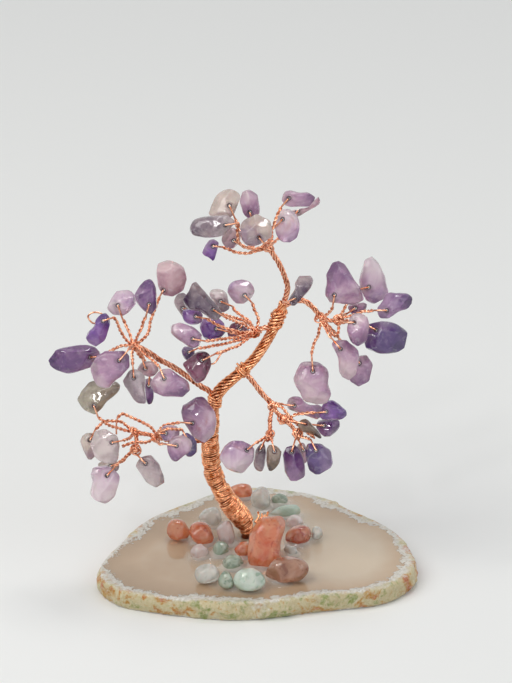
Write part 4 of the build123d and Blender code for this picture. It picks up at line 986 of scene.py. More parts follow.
@dataclass
class Wires:
    """Round wires of one diameter, gathered as splines and turned into one mesh."""

    name: str
    diameter: float
    sides: int = 2
    coil_steps: int = 14

    def __post_init__(self) -> None:
        """Start the curve that gathers them."""
        self.curve = bpy.data.curves.new(self.name, "CURVE")
        self.curve.dimensions = "3D"
        self.curve.twist_mode = "MINIMUM"
        self.curve.bevel_depth = self.diameter / 2 * MM
        self.curve.bevel_resolution = self.sides
        self.curve.use_fill_caps = True

    def add(self, points: list[Vector], widths: list[float] | None = None) -> None:
        """Add one wire.

        Args:
            points: its middle line.
            widths: its thickness at each point, as shares of the diameter, or None for even wire.
        """
        spline = self.curve.splines.new("POLY")
        spline.points.add(len(points) - 1)
        flat = [c for p in points for c in (p.x * MM, p.y * MM, p.z * MM, 1.0)]
        spline.points.foreach_set("co", flat)
        spline.points.foreach_set("radius", widths or [1.0] * len(points))

    def coil(self, centre: Vector, axis: Vector, radius: float, turns: float, rise: float, seed: int,
             rough: float) -> None:
        """Add one uneven coil of wire.

        Args:
            centre: its middle.
            axis: the line it goes round.
            radius: how far from that line it lies.
            turns: how many times it goes round.
            rise: how far it climbs along the line.
            seed: picks its unevenness.
            rough: how uneven it is, as a share of the radius.
        """
        axis = axis.normalized()
        side = axis.orthogonal().normalized()
        front = axis.cross(side)
        count = max(8, round(turns * self.coil_steps))
        points = []
        for i in range(count + 1):
            t = i / count
            angle = math.tau * turns * t + seed
            stray = noise.noise_vector(Vector((t * turns * 2.1, seed * 1.37, 0.5)))
            spot = on_circle(centre, side, front, radius * (1 + rough * stray.x), angle)
            points.append(spot + axis * (rise * (t - 0.5) + radius * rough * stray.y))
        self.add(points)

    def mesh(self, material: bpy.types.Material) -> bpy.types.Object:
        """Turn the wires into a mesh.

        Args:
            material: their finish.

        Returns:
            One object with all the wires.
        """
        holder = linked(self.name + "_curve", self.curve)
        graph = bpy.context.evaluated_depsgraph_get()
        data = bpy.data.meshes.new_from_object(holder.evaluated_get(graph))
        bpy.data.objects.remove(holder)
        bpy.data.curves.remove(self.curve)
        return mesh_object(self.name, data, [material])


def linked(name: str, data: bpy.types.ID) -> bpy.types.Object:
    """Make an object that holds some data and link it to the scene.

    Args:
        name: the object's name.
        data: what it holds.

    Returns:
        The object.
    """
    obj = bpy.data.objects.new(name, data)
    bpy.context.scene.collection.objects.link(obj)
    return obj


def mesh_object(name: str, data: bpy.types.Mesh, materials: list[bpy.types.Material]) -> bpy.types.Object:
    """Clean a mesh and make an object of it at the origin.

    Args:
        name: the object's name.
        data: the mesh, in metres.
        materials: its finishes, in the order of its material places.

    Returns:
        The object.
    """
    bm = bmesh.new()
    bm.from_mesh(data)
    bmesh.ops.remove_doubles(bm, verts=bm.verts, dist=1e-7)
    bmesh.ops.recalc_face_normals(bm, faces=bm.faces)
    bm.to_mesh(data)
    bm.free()
    data.name = name
    for material in materials:
        data.materials.append(material)
    data.shade_smooth()
    LOG.info("%s: %d faces", name, len(data.polygons))
    return linked(name, data)


def islands(node: bpy.types.Object) -> list[tuple]:
    """Part a CAD node into its solids.

    Args:
        node: the frame's object.

    Returns:
        For each solid its corners in millimetres and its faces.
    """
    bm = bmesh.new()
    bm.from_mesh(node.data)
    bmesh.ops.remove_doubles(bm, verts=bm.verts, dist=2e-6)
    bm.verts.ensure_lookup_table()
    seen = set()
    out = []
    for start in bm.verts:
        if start.index in seen or not start.link_faces:
            continue
        members = {start.index: 0}
        order = [start]
        seen.add(start.index)
        while order:
            vert = order.pop()
            for edge in vert.link_edges:
                other = edge.other_vert(vert)
                if other.index not in seen:
                    seen.add(other.index)
                    members[other.index] = len(members)
                    order.append(other)
        verts = np.zeros((len(members), 3))
        for index, k in members.items():
            verts[k] = bm.verts[index].co / MM
        faces = [[members[v.index] for v in f.verts] for f in bm.faces if f.verts[0].index in members]
        out.append((verts, faces))
    bm.free()
    return out


def voxels(verts: np.ndarray, faces: list[list[int]], size: float) -> bmesh.types.BMesh:
    """Remake a solid with an even mesh.

    Args:
        verts: its corners, in millimetres.
        faces: its faces.
        size: the width of the even mesh's cells.

    Returns:
        The even mesh, in millimetres.
    """
    data = bpy.data.meshes.new("draft")
    data.from_pydata([tuple(v) for v in verts], [], faces)
    holder = linked("draft", data)
    change = holder.modifiers.new("even", "REMESH")
    change.mode = "VOXEL"
    change.voxel_size = size
    graph = bpy.context.evaluated_depsgraph_get()
    even = bpy.data.meshes.new_from_object(holder.evaluated_get(graph))
    bm = bmesh.new()
    bm.from_mesh(even)
    bpy.data.objects.remove(holder)
    bpy.data.meshes.remove(data)
    bpy.data.meshes.remove(even)
    return bm


def to_mesh(parts: list[bmesh.types.BMesh], name: str) -> bpy.types.Mesh:
    """Join meshes in millimetres into one in metres.

    Args:
        parts: the meshes, each of which gets a material place of its own.
        name: the new mesh's name.

    Returns:
        The new mesh.
    """
    verts = []
    faces = []
    places = []
    for place, bm in enumerate(parts):
        base = len(verts)
        bm.verts.index_update()
        verts += [v.co * MM for v in bm.verts]
        faces += [[base + v.index for v in f.verts] for f in bm.faces]
        places += [place] * len(bm.faces)
    data = bpy.data.meshes.new(name)
    data.from_pydata(verts, [], faces)
    data.polygons.foreach_set("material_index", places)
    return data


def grind(bm: bmesh.types.BMesh, middle: Vector, way: Vector, share: float) -> None:
    """Grind one soft facet on a solid.

    Args:
        bm: the solid's mesh.
        middle: its middle.
        way: the facet's outward direction.
        share: how far out the facet lies, as a share of the solid's reach that way.
    """
    cut = share * max((v.co - middle).dot(way) for v in bm.verts)
    for v in bm.verts:
        over = (v.co - middle).dot(way) - cut
        if over > 0:
            v.co -= way * (over * 0.96)


def smooth(bm: bmesh.types.BMesh, rounds: int, factor: float = 0.5, heights: bool = True) -> None:
    """Smooth a mesh.

    Args:
        bm: the mesh.
        rounds: how many times.
        factor: how far each corner moves towards its neighbours.
        heights: whether corners move up and down too.
    """
    for _ in range(rounds):
        bmesh.ops.smooth_vert(
            bm, verts=bm.verts, factor=factor, use_axis_x=True, use_axis_y=True, use_axis_z=heights
        )


# Chips


@dataclass(eq=False)
class ChipShape:
    """One chip's tumbled form, made from its CAD solid, and the wire loop through its hole."""

    chip: Chip
    solid: tuple
    index: int
    voxel: float = 0.27
    facets: int = 8
    facet_depth: tuple = (0.7, 0.9)
    sides: int = 7
    side_depth: tuple = (0.87, 0.97)
    side_turn: float = 0.3
    side_lean: float = 0.35
    bend: float = 0.14
    bend_size: float = 6.5
    lump: float = 0.17
    lump_size: float = 3.4
    ripple: float = 0.05
    ripple_size: float = 1.2
    bore_rim: float = 0.55
    bore_guard: float = 1.3
    loop_gap: float = 0.3
    loop_reach: float = 1.3
    swing_gap: float = 1.0
    swing_reach: float = 2.0
    hole_edge: float = 0.95
    search_step: float = 0.15
    search_end: float = 14.0
    half_thickness: float = 2.0

    def __post_init__(self) -> None:
        """Shape the chip's mesh from its CAD solid."""
        verts, faces = self.solid
        seed = self.index + 3
        self.draw = random.Random(seed)
        self.offset = Vector((seed * 1.31, seed * 0.77, seed * 2.03))
        self.centre = Vector((verts.min(0) + verts.max(0)) / 2)
        self.half = float(np.linalg.norm(verts - np.array(self.centre), axis=1).max())
        depth = (self.centre - Vector(PICTURE.foot)).dot(PICTURE.near)
        u, v = self.chip.hole
        self.hole = PICTURE.place(u, v, depth)
        target = self.chip.stem[-1]
        self.heading = Vector((target[0] - u, 0, 0)) + PICTURE.up * (v - target[1])
        self.heading.normalize()
        self.bm = voxels(verts, faces, self.voxel)
        self.facet()
        self.roughen()
        self.tree = BVHTree.FromBMesh(self.bm)

    def warp(self, p: Vector) -> Vector:
        """Return where the gentle bending of the whole chip takes a point."""
        return p + self.bend * noise.noise_vector(p / self.bend_size + self.offset)

    def facet(self) -> None:
        """Grind soft facets on the two faces and uneven flats round the sides."""
        draw = self.draw
        near = PICTURE.near
        right = Vector((1, 0, 0))
        ways = []
        for k in range(self.facets):
            lean = right * draw.uniform(-1, 1)
            way = near * (1 if k % 2 else -1) + lean + PICTURE.up * draw.uniform(-1, 1)
            ways.append((way.normalized(), draw.uniform(*self.facet_depth)))
        for k in range(self.sides):
            angle = math.tau * (k + draw.uniform(-self.side_turn, self.side_turn)) / self.sides
            lean = near * draw.uniform(-self.side_lean, self.side_lean)
            way = right * math.cos(angle) + PICTURE.up * math.sin(angle) + lean
            ways.append((way.normalized(), draw.uniform(*self.side_depth)))
        for way, share in ways:
            grind(self.bm, self.centre, way, share)

    def roughen(self) -> None:
        """Give the skin lumps that fade out round the hole, bend the whole and round its edges."""
        near = PICTURE.near
        self.bm.normal_update()
        for v in self.bm.verts:
            offset = v.co - self.hole
            from_axis = (offset - near * offset.dot(near)).length
            share = clamped((from_axis - self.bore_rim) / self.bore_guard)
            lump = self.lump * self.chip.bumpy * noise.noise(v.co / self.lump_size + self.offset)
            ripple = self.ripple * self.chip.bumpy * noise.noise(v.co / self.ripple_size - self.offset)
            v.co += v.normal * (share * (lump + ripple))
        for v in self.bm.verts:
            v.co = self.warp(v.co)
        smooth(self.bm, 2)

    def surface(self, out: float, sign: int) -> float | None:
        """Find the chip's face beside its hole.

        Args:
            out: how far from the hole's middle, towards the stem.
            sign: 1 for the face towards the camera, -1 for the one behind.

        Returns:
            How far the face lies in front of the hole's middle, or None where the chip has ended.
        """
        start = self.warp(self.hole) + self.heading * out + PICTURE.near * (15 * sign)
        hit = self.tree.ray_cast(start, -PICTURE.near * sign)
        if hit[0] is None:
            return None
        return (hit[0] - self.warp(self.hole)).dot(PICTURE.near)

    def loop(self) -> tuple:
        """Lead a wire from the stem over the chip's edge, through the hole and back.

        Returns:
            The wire's points, and the spot where the stem's twist ends.
        """
        middle = self.warp(self.hole)
        faces = [self.surface(self.hole_edge, 1), self.surface(self.hole_edge, -1)]
        if None in faces:
            faces = [self.half_thickness, -self.half_thickness]
        edge = self.hole_edge
        while edge < self.search_end and self.surface(edge + self.search_step, 1) is not None:
            edge += self.search_step
        rims = list(faces)
        if edge > 1.5:
            found = [self.surface(edge - 0.5, 1), self.surface(edge - 0.5, -1)]
            rims = [face if rim is None else rim for face, rim in zip(faces, found)]
        gap = self.swing_gap if self.chip.swings else self.loop_gap
        reach = self.swing_reach if self.chip.swings else self.loop_reach
        rim_middle = sum(rims) / 2

        def at(out: float, height: float) -> Vector:
            """Return a point out from the hole and in front of its middle."""
            return middle + self.heading * out + PICTURE.near * height

        lanes = []
        for sign, face, rim in zip((1, -1), faces, rims):
            off = gap * sign
            lane = [
                at(edge + reach * 0.45, rim_middle + (rim - rim_middle) * 0.7 + off * 0.4),
                at(edge - 0.1, rim + off * 0.9),
            ]
            if edge > 2.4:
                half = self.surface(edge / 2, sign)
                lane.append(at(edge / 2, (face if half is None else half) + off))
            lanes.append(lane + [at(0.45, face + off), at(0.0, face + off * 0.1)])
        return lanes[0] + lanes[1][::-1], at(edge + reach, rim_middle)

    def material(self) -> bpy.types.Material:
        """Make the chip's own stone.

        Returns:
            The material.
        """
        across, rise = self.chip.heading
        heading = (Vector((across, 0, 0)) + PICTURE.up * rise).normalized()
        lie = Clouding(self.centre * MM, heading, self.half * MM, self.chip.shift, self.warp(self.hole) * MM)
        name = f"amethyst_{self.index:02d}_{self.chip.finish}"
        return amethyst_material(name, FINISHES[self.chip.finish], lie)


@dataclass(eq=False)
class Chips:
    """All the chips of the crown."""

    frame: dict
    shapes: list[ChipShape] = field(default_factory=list)

    def __post_init__(self) -> None:
        """Shape every chip from the frame's nodes."""
        left = {}
        for index, chip in enumerate(CHIPS):
            if chip.node not in left:
                left[chip.node] = islands(self.frame["nodes"][chip.node])
            options = left[chip.node]
            best = min(range(len(options)), key=lambda k: self.distance(options[k][0], chip.hole))
            self.shapes.append(ChipShape(chip, options.pop(best), index))

    @staticmethod
    def distance(verts: np.ndarray, hole: tuple) -> float:
        """Return how far a solid's middle is seen from a hole, in pixels."""
        u, v = PICTURE.seen(Vector((verts.min(0) + verts.max(0)) / 2))
        return math.hypot(u - hole[0], v - hole[1])

    def build(self) -> None:
        """Make one object for each CAD node."""
        groups: dict[str, list[ChipShape]] = {}
        for shape in self.shapes:
            groups.setdefault(shape.chip.node, []).append(shape)
        body_of = {n: b for b, names in self.frame["record"]["behaviour"]["bodies"].items() for n in names}
        for node, shapes in groups.items():
            data = to_mesh([s.bm for s in shapes], node)
            obj = mesh_object(node + "_stone", data, [s.material() for s in shapes])
            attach(obj, body_of[node])
            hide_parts(node)


# Branches and trunk


@dataclass(eq=False)
class BranchWire:
    """The twisted stems, loops and knots of one branch, and the rope that joins it to the trunk."""

    name: str
    shapes: list[ChipShape]
    copper: bpy.types.Material
    strand: float = 0.52
    pair: Lay = Lay(0.27, 2.7)
    pair_loose: float = 0.12
    stray_loose: float = 0.15
    pitch_spread: tuple = (0.85, 1.25)
    root_spread: float = 0.45
    sway: float = 0.35
    sway_length: float = 3.0
    held_length: float = 2.0
    stem_step: float = 0.22
    loop_step: float = 0.25
    rope_step: float = 0.3
    twig: Lay = Lay(0.42, 4.0, 4, 0.0, 0.3)
    rope_lay: Lay = Lay(0.58, 7.0, 5, 0.4, 0.28)
    short_rope_strands: int = 4
    knot_coils: int = 5
    knot_spread: float = 0.5
    knot_radius: tuple = (0.7, 1.5)
    knot_turns: tuple = (1.0, 1.9)
    knot_rise: tuple = (0.4, 1.2)
    knot_rough: float = 0.3
    bend_length: float = 6.0

    def __post_init__(self) -> None:
        """Keep the chips of this branch only."""
        self.branch = BRANCHES[self.name]
        self.shapes = [s for s in self.shapes if s.chip.branch == self.name]

    def stem(self, wires: Wires, shape: ChipShape, start: Vector, seed: int) -> None:
        """Add one chip's stem: a wire out, through the chip and back, twisted on itself.

        Args:
            wires: where it goes.
            shape: the chip.
            start: where it begins.
            seed: picks its unevenness.
        """
        loop, apex = shape.loop()
        draw = random.Random(seed)
        spots = [self.branch.point(s) for s in shape.chip.stem[:-1]]
        origin = start + random_vector(draw, self.root_spread)
        path = catmull([origin] + spots + [apex], self.stem_step)
        lengths = arc_lengths(path)
        bent = []
        for p, length in zip(path, lengths):
            free = min(length, lengths[-1] - length, self.held_length) / self.held_length
            way = noise.noise_vector(Vector((length / self.sway_length, seed * 2.3, 1.1)))
            bent.append(p + self.sway * free * way)
        side, front = frames(bent)[-1]
        angle = math.atan2(PICTURE.near.dot(front), PICTURE.near.dot(side))
        pitch = self.pair.pitch * draw.uniform(*self.pitch_spread)
        lay = replace(self.pair, pitch=pitch, end_angle=angle, loose=self.pair_loose, seed=seed)
        out, back = lay.along(bent)
        arc = catmull([out[-1]] + loop + [back[-1]], self.loop_step)
        wires.add(out[:-1] + arc + back[-2::-1])

    def knots(self, wires: Wires) -> None:
        """Add the uneven turns round each hub.

        Args:
            wires: where they go.
        """
        for k, spot in enumerate(self.branch.hubs.values()):
            centre = self.branch.point(spot)
            draw = random.Random(len(self.name) * 17 + k)
            for j in range(self.knot_coils):
                axis = random_vector(draw, 1)
                nudge = random_vector(draw, self.knot_spread)
                wires.coil(
                    centre + nudge, axis, draw.uniform(*self.knot_radius), draw.uniform(*self.knot_turns),
                    draw.uniform(*self.knot_rise), self.knot_coils * j + k, self.knot_rough,
                )

    def build(self) -> None:
        """Make the branch's two wire objects."""
        wires = Wires(f"{self.name}_stems", self.strand)
        rope = self.branch.rope_points()
        for index, shape in enumerate(self.shapes):
            hub = shape.chip.hub
            start = rope[0] if hub == "root" else self.branch.point(self.branch.hubs[hub])
            self.stem(wires, shape, start, 11 * index + len(self.name))
        for k, twig in enumerate(self.branch.twigs):
            path = catmull([self.branch.point(s) for s in twig], self.rope_step)
            for strand in replace(self.twig, seed=k + 2).along(path):
                wires.add(strand)
        for k, (twisted, spots) in enumerate(STRAYS.get(self.name, [])):
            path = catmull([self.branch.point(s) for s in spots], self.loop_step)
            lay = replace(self.pair, loose=self.stray_loose, seed=k)
            for strand in lay.along(path) if twisted else [path]:
                wires.add(strand)
        self.knots(wires)
        obj = wires.mesh(self.copper)
        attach(obj, f"{self.name}_branch")
        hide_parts(f"wire_{self.name}")
        self.rope(rope)

    def rope(self, rope: list[Vector]) -> None:
        """Make the rope from inside the trunk to the first hub, which bends at the trunk.

        Args:
            rope: its points outside the trunk.
        """
        wires = Wires(f"{self.name}_rope", self.strand)
        u, v, back = ROOTS[self.name]
        inside = PICTURE.place(u, v, PICTURE.near_of(v, back))
        path = catmull([inside] + rope, self.rope_step)
        strands = self.short_rope_strands if self.name == "middle_left" else self.rope_lay.strands
        for strand in replace(self.rope_lay, strands=strands, seed=len(self.name)).along(path):
            wires.add(strand)
        wires.add(path)
        obj = wires.mesh(self.copper)
        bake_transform(obj)


@dataclass(eq=False)
class Trunk:
    """The wound lower trunk, the bare rope above it and the loose ends at both."""

    copper: bpy.types.Material
    dark: bpy.types.Material
    step: float = 0.3
    wire: float = 0.5
    turns: int = 62
    wound_share: tuple = (0.03, 0.955)
    turn_steps: int = 16
    bulge: float = 0.26
    second_lift: float = 0.22
    # The second layer's stretches: start and end along the wound part, turns, lean and seed
    second_layer: tuple = (
        (0.10, 0.22, 9, 0.5, 2), (0.20, 0.30, 7, -0.6, 3), (0.33, 0.42, 7, 0.7, 4), (0.46, 0.56, 8, -0.5, 5),
        (0.60, 0.66, 5, 0.8, 6), (0.70, 0.80, 8, 0.6, 7), (0.84, 0.9, 4, -0.5, 8),
    )
    core_inset: tuple = (0.5, 0.6)
    rope_wire: float = 0.68
    rope_lay: Lay = Lay(0.5, 15.0, 9, 0.0, 0.05, 9)
    # Cut ends by the band and beside the foot: where each starts and ends, and how much farther back it lies
    band_ends: tuple = ((240, 369, 237, 363), (243, 367, 241, 362), (246, 366, 243, 364))
    foot_ends: tuple = (
        (255, 522, 258, 512, 0.0), (256, 523, 262, 514, 0.5), (257, 523, 265, 515, 0.9),
        (258, 523, 268, 512, 0.2), (259, 524, 269, 517, 1.2),
    )

    def __post_init__(self) -> None:
        """Work out the trunk's middle line."""
        self.wound = self.line(WOUND_LINE + ROPE_LINE[:1])
        self.rope = self.line(WOUND_LINE[-1:] + ROPE_LINE)

    def line(self, rows: list[tuple]) -> tuple:
        """Lay the middle line through its rows.

        Args:
            rows: u, v, depth share and width of each.

        Returns:
            The line's points and its outer radii.
        """
        points = [PICTURE.place(u, v, PICTURE.near_of(v, back)) for u, v, back, width in rows]
        radii = [Vector((width / 2, 0, 0)) for u, v, back, width in rows]
        path = []
        sizes = []
        last = len(rows) - 1
        for i in range(last):
            count = max(1, round((points[i + 1] - points[i]).length / self.step))
            spots = (max(i - 1, 0), i, i + 1, min(i + 2, last))
            for j in range(count):
                t = j / count
                weights = ((-t + 2 * t * t - t**3) / 2, (2 - 5 * t * t + 3 * t**3) / 2,
                           (t + 4 * t * t - 3 * t**3) / 2, (-t * t + t**3) / 2)
                path.append(sum((points[s] * w for s, w in zip(spots, weights)), Vector()))
                sizes.append(sum((radii[s] * w for s, w in zip(spots, weights)), Vector()).x)
        path.append(points[-1])
        sizes.append(radii[-1].x)
        return path, sizes

    def winding(self, wires: Wires, first: float, last: float, turns: int, lift: float, lean: float,
                seed: int) -> None:
        """Add a close winding round the wound part.

        Args:
            wires: where it goes.
            first: its start, as a share of the wound length.
            last: its end.
            turns: how many times it goes round.
            lift: how far it stands out beyond the first layer.
            lean: how far each turn leans along the trunk.
            seed: picks its unevenness.
        """
        path, sizes = self.wound
        sides = frames(path, Vector((1, 0, 0)))
        lengths = arc_lengths(path)
        points = []
        count = turns * self.turn_steps
        for i in range(count + 1):
            t = i / count
            where = first + (last - first) * t + 0.006 * noise.noise(Vector((t * turns * 0.9, seed, 0)))
            angle = math.tau * turns * t
            where += lean * math.sin(angle + seed) / lengths[-1]
            target = clamped(where) * lengths[-1]
            k = min(max(int(np.searchsorted(lengths, target)), 1), len(path) - 1)
            share = (target - lengths[k - 1]) / (lengths[k] - lengths[k - 1])
            centre = path[k - 1].lerp(path[k], share)
            size = sizes[k - 1] + (sizes[k] - sizes[k - 1]) * share
            spot = Vector((where * 26, math.cos(angle) * 0.5, seed + math.sin(angle) * 0.5))
            r = size - self.wire / 2 + lift + self.bulge * noise.noise(spot)
            points.append(on_circle(centre, *sides[k], r, angle))
        wires.add(points)

    def build(self) -> None:
        """Make the trunk's wire objects: its inner bundle, its winding and its bare rope."""
        core = Wires("trunk_inner_bundle", 1.0, 4)
        widths = []
        for (path, sizes), inset in zip((self.wound, self.rope), self.core_inset):
            widths.append([2 * (s - inset) for s in sizes])
        core.add(self.wound[0][:-1:3] + self.rope[0][::3], widths[0][:-1:3] + widths[1][::3])
        # The inner bundle takes a darker copy of the copper: painted shade in the gaps between the outer
        # wires.
        inner = core.mesh(self.dark)
        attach(inner, "base")
        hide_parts("trunk_core")

        wires = Wires("trunk_winding", self.wire)
        self.winding(wires, *self.wound_share, self.turns, 0.0, 0.15, 1)
        for first, last, turns, lean, seed in self.second_layer:
            self.winding(wires, first, last, turns, self.second_lift, lean, seed)
        outer = wires.mesh(self.copper)
        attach(outer, "base")
        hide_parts("trunk_binding")

        rope = Wires("trunk_rope", self.rope_wire)
        path, sizes = self.rope
        radii = [max(s - self.rope_wire / 2, self.rope_lay.radius) for s in sizes]
        for strand in self.rope_lay.along(path, radii):
            rope.add(strand)
        self.bands(rope)
        self.ends(rope)
        obj = rope.mesh(self.copper)
        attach(obj, "base")

    def nearest(self, u: float, v: float) -> tuple:
        """Find the bare rope's place on the picture.

        Args:
            u: where it is seen from left to right.
            v: where it is seen from top to bottom.

        Returns:
            The rope's nearest point, its way there and its radius.
        """
        path, sizes = self.rope
        k = min(range(1, len(path) - 1), key=lambda i: math.dist(PICTURE.seen(path[i]), (u, v)))
        return path[k], (path[k + 1] - path[k - 1]).normalized(), sizes[k]

    def bands(self, wires: Wires) -> None:
        """Add the turns bound over the rope: a short band, the thick bend below the crown and a low band.

        Args:
            wires: where they go.
        """
        centre, way, size = self.nearest(242, 370)
        for k in range(3):
            lean = way + Vector((0.15, 0, 0.1 * k))
            wires.coil(centre + way * (k * 0.8 - 0.4), lean, size + 0.15, 1.3, 0.9, k, 0.08)
        centre, way, size = self.nearest(279, 318)
        for k in range(7):
            lean = way + PICTURE.up * 0.1 + Vector((-0.45, 0.3 * (k % 2), 0))
            spot = centre + way * (k * 0.8 - 2.6) - Vector((0.25, 0, 0))
            wires.coil(spot, lean, size + 0.45 + 0.3 * (k % 2), 1.15, 0.8, k + 4, 0.16)
        centre, way, size = self.nearest(215, 400)
        for k in range(3):
            lean = way + Vector((0.3, 0, 0))
            wires.coil(centre + way * (k * 1.1 - 1.2), lean, size + 0.2, 1.4, 1.0, k + 12, 0.1)

    def ends(self, wires: Wires) -> None:
        """Add the cut wire ends: a few by the band and a few that stand up beside the foot.

        Args:
            wires: where they go.
        """
        near = PICTURE.near_of(368, -0.075) + 1.6
        for u0, v0, u1, v1 in self.band_ends:
            a = PICTURE.place(u0, v0, near)
            b = PICTURE.place(u1, v1, near + 0.7)
            wires.add(catmull([a, a.lerp(b, 0.5) + Vector((0.2, 0, 0.1)), b], self.step))
        for u0, v0, u1, v1, drop in self.foot_ends:
            a = PICTURE.place(u0, v0, PICTURE.near_of(v0, 0.01) - drop)
            b = PICTURE.place(u1, v1, PICTURE.near_of(v1, 0.0) - 4.5 - drop)
            wires.add(catmull([a, a.lerp(b, 0.6) + Vector((0.5, 0, -0.3)), b], self.step))


# Foot


@dataclass(eq=False)
class Outline:
    """How far a flat solid reaches round its middle."""

    verts: np.ndarray
    steps: int = 181
    window: float = 0.06

    def __post_init__(self) -> None:
        """Measure the solid at each angle."""
        angles = np.arctan2(self.verts[:, 1], self.verts[:, 0])
        radii = np.hypot(self.verts[:, 0], self.verts[:, 1])
        self.angles = np.linspace(-math.pi, math.pi, self.steps)
        reach = []
        for a in self.angles:
            away = np.abs((angles - a + math.pi) % math.tau - math.pi)
            reach.append(radii[away < max(self.window, away.min() + 0.01)].max())
        self.reach = np.array(reach)

    def inside(self, x: float, y: float) -> float:
        """Return how far inside the outline a place lies."""
        return float(np.interp(math.atan2(y, x), self.angles, self.reach)) - math.hypot(x, y)


@dataclass(eq=False)
class Foot:
    """The agate slice, the glue and the stones that hold the trunk."""

    frame: dict
    face_top: float = 6.0
    slice_voxel: float = 0.6
    rind_rough: float = 1.25
    rind_depth: float = 2.6
    rind_fade: float = 2.0
    # The rind's lumps, as widths and heights
    rind_lumps: tuple = ((5.0, 0.7), (2.1, 0.5), (1.0, 0.22))
    face_margin: float = 0.3
    glue_voxel: float = 0.4
    glue_slope: float = 9.0
    glue_rise: float = 0.9
    creep: float = 1.3
    creep_length: float = 0.9
    full_depth: float = 1.4
    stone_voxel: float = 0.32
    stone_growth: float = 1.16
    stone_facets: int = 10
    stone_depth: tuple = (0.82, 0.95)

    def __post_init__(self) -> None:
        """Part the stones' nodes into solids."""
        self.solids = {kind: islands(self.frame["nodes"][f"base_chips_{kind.value}"]) for kind in Stone}

    def slice(self) -> None:
        """Make the slice with its flat faces and rough rind."""
        verts, faces = islands(self.frame["nodes"]["agate_slice"])[0]
        bm = voxels(verts, faces, self.slice_voxel)
        outline = Outline(verts)
        bm.normal_update()
        for v in bm.verts:
            side = clamped((self.rind_depth - outline.inside(v.co.x, v.co.y)) / self.rind_fade)
            inner = min(v.co.z, self.face_top - v.co.z)
            on_face = 1.0 if inner > self.face_margin else 0.25
            lump = sum(noise.noise(v.co / width) * height for width, height in self.rind_lumps)
            push = side * on_face * self.rind_rough * (lump - 0.25)
            v.co += Vector((v.co.x, v.co.y, 0)).normalized() * push
            if inner > self.face_margin:
                v.co.z += 0.12 * side * noise.noise(v.co / 1.6)
        smooth(bm, 1, 0.35, False)
        data = to_mesh([bm], "agate_slice")
        rim = data.attributes.new("rim_mm", "FLOAT", "POINT")
        values = []
        for v in data.vertices:
            x, y, z = v.co / MM
            depth = outline.inside(x, y)
            values.append(depth if z > self.face_top - 0.5 or z < 0.5 else min(depth, 0.0))
        rim.data.foreach_set("value", values)
        obj = mesh_object("agate_slice_stone", data, [agate_material(AgateFinish())])
        self.place(obj, "agate_slice", "agate")

    @staticmethod
    def place(obj: bpy.types.Object, node: str, slot: str) -> None:
        """Let an object stand for a node of the base.

        Args:
            obj: the object.
            node: the CAD node.
            slot: not used.
        """
        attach(obj, "base")
        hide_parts(node)

    def glue(self) -> None:
        """Make the glue pool, whose rippled skin creeps up where a stone stands in it."""
        verts, faces = islands(self.frame["nodes"]["glue_bed"])[0]
        bm = voxels(verts, faces, self.glue_voxel)
        middle = (verts.min(0) + verts.max(0)) / 2
        outline = Outline(verts - middle)
        corners = [p for solids in self.solids.values() for solid in solids for p in solid[0]]
        feet = [p for p in corners if p[2] < self.face_top + 2.0]
        stones = KDTree(len(feet))
        for index, p in enumerate(feet):
            stones.insert((p[0], p[1], 0.0), index)
        stones.balance()
        for v in bm.verts:
            if v.co.z < self.face_top + 0.4:
                v.co.z = self.face_top - 0.25
                continue
            share = clamped(outline.inside(v.co.x - middle[0], v.co.y - middle[1]) / self.glue_slope)
            ripple = 0.5 * noise.noise(v.co / 4.5) + 0.3 * noise.noise(v.co / 2.0)
            away = max(stones.find((v.co.x, v.co.y, 0.0))[2] - 0.5, 0.0)
            creep = self.creep * math.exp(-away / self.creep_length)
            skin = self.face_top - 0.05 + share * (self.glue_rise + ripple)
            v.co.z = skin + min(2 * share, 1.0) * creep
        smooth(bm, 2)
        data = to_mesh([bm], "glue_pool")
        depth = data.attributes.new("depth_share", "FLOAT", "POINT")
        values = [clamped((v.co.z / MM - self.face_top) / self.full_depth) for v in data.vertices]
        depth.data.foreach_set("value", values)
        obj = mesh_object("glue_pool", data, [glue_material()])
        obj.visible_shadow = False
        self.place(obj, "glue_bed", "clear_glue")

    def stone(self, kind: Stone, index: int) -> tuple:
        """Tumble one stone and choose its finish by where it is seen.

        Args:
            kind: the stone's kind.
            index: its place among the kind's solids.

        Returns:
            Its mesh and the name of its finish.
        """
        verts, faces = self.solids[kind][index]
        bm = voxels(verts, faces, self.stone_voxel)
        seed = Vector((index * 1.7 + 3, index * 0.9, len(kind.value) * 1.1))
        draw = random.Random(index * 7 + len(kind.value))
        middle = Vector((verts.min(0) + verts.max(0)) / 2)
        bm.normal_update()
        for v in bm.verts:
            v.co += v.normal * (0.1 + 0.3 * noise.noise(v.co / 3.6 + seed))
            v.co = middle + (v.co - middle) * self.stone_growth
        for _ in range(self.stone_facets):
            way = random_vector(draw, 1).normalized()
            grind(bm, middle, way, draw.uniform(*self.stone_depth))
        smooth(bm, 2)
        floor = verts[:, 2].min()
        for v in bm.verts:
            v.co.z = max(v.co.z, floor)
        seen = PICTURE.seen(middle)
        rows = [row for row in BASE_FINISHES if row[0] == kind]
        return bm, min(rows, key=lambda row: math.dist(row[1], seen))[2]

    def stones(self) -> None:
        """Make the tumbled stones, one object for each kind."""
        made: dict[str, bpy.types.Material] = {}
        for kind in Stone:
            parts = []
            materials = []
            for index in range(len(self.solids[kind])):
                bm, code = self.stone(kind, index)
                if code not in made:
                    made[code] = stone_material(f"{kind.value}_{code}", STONE_FINISHES[code])
                parts.append(bm)
                materials.append(made[code])
            obj = mesh_object(f"base_stones_{kind.value}", to_mesh(parts, kind.value), materials)
            self.place(obj, f"base_chips_{kind.value}", kind.value)

    def build(self) -> None:
        """Make everything below the trunk."""
        self.slice()
        self.glue()
        self.stones()


# Stage


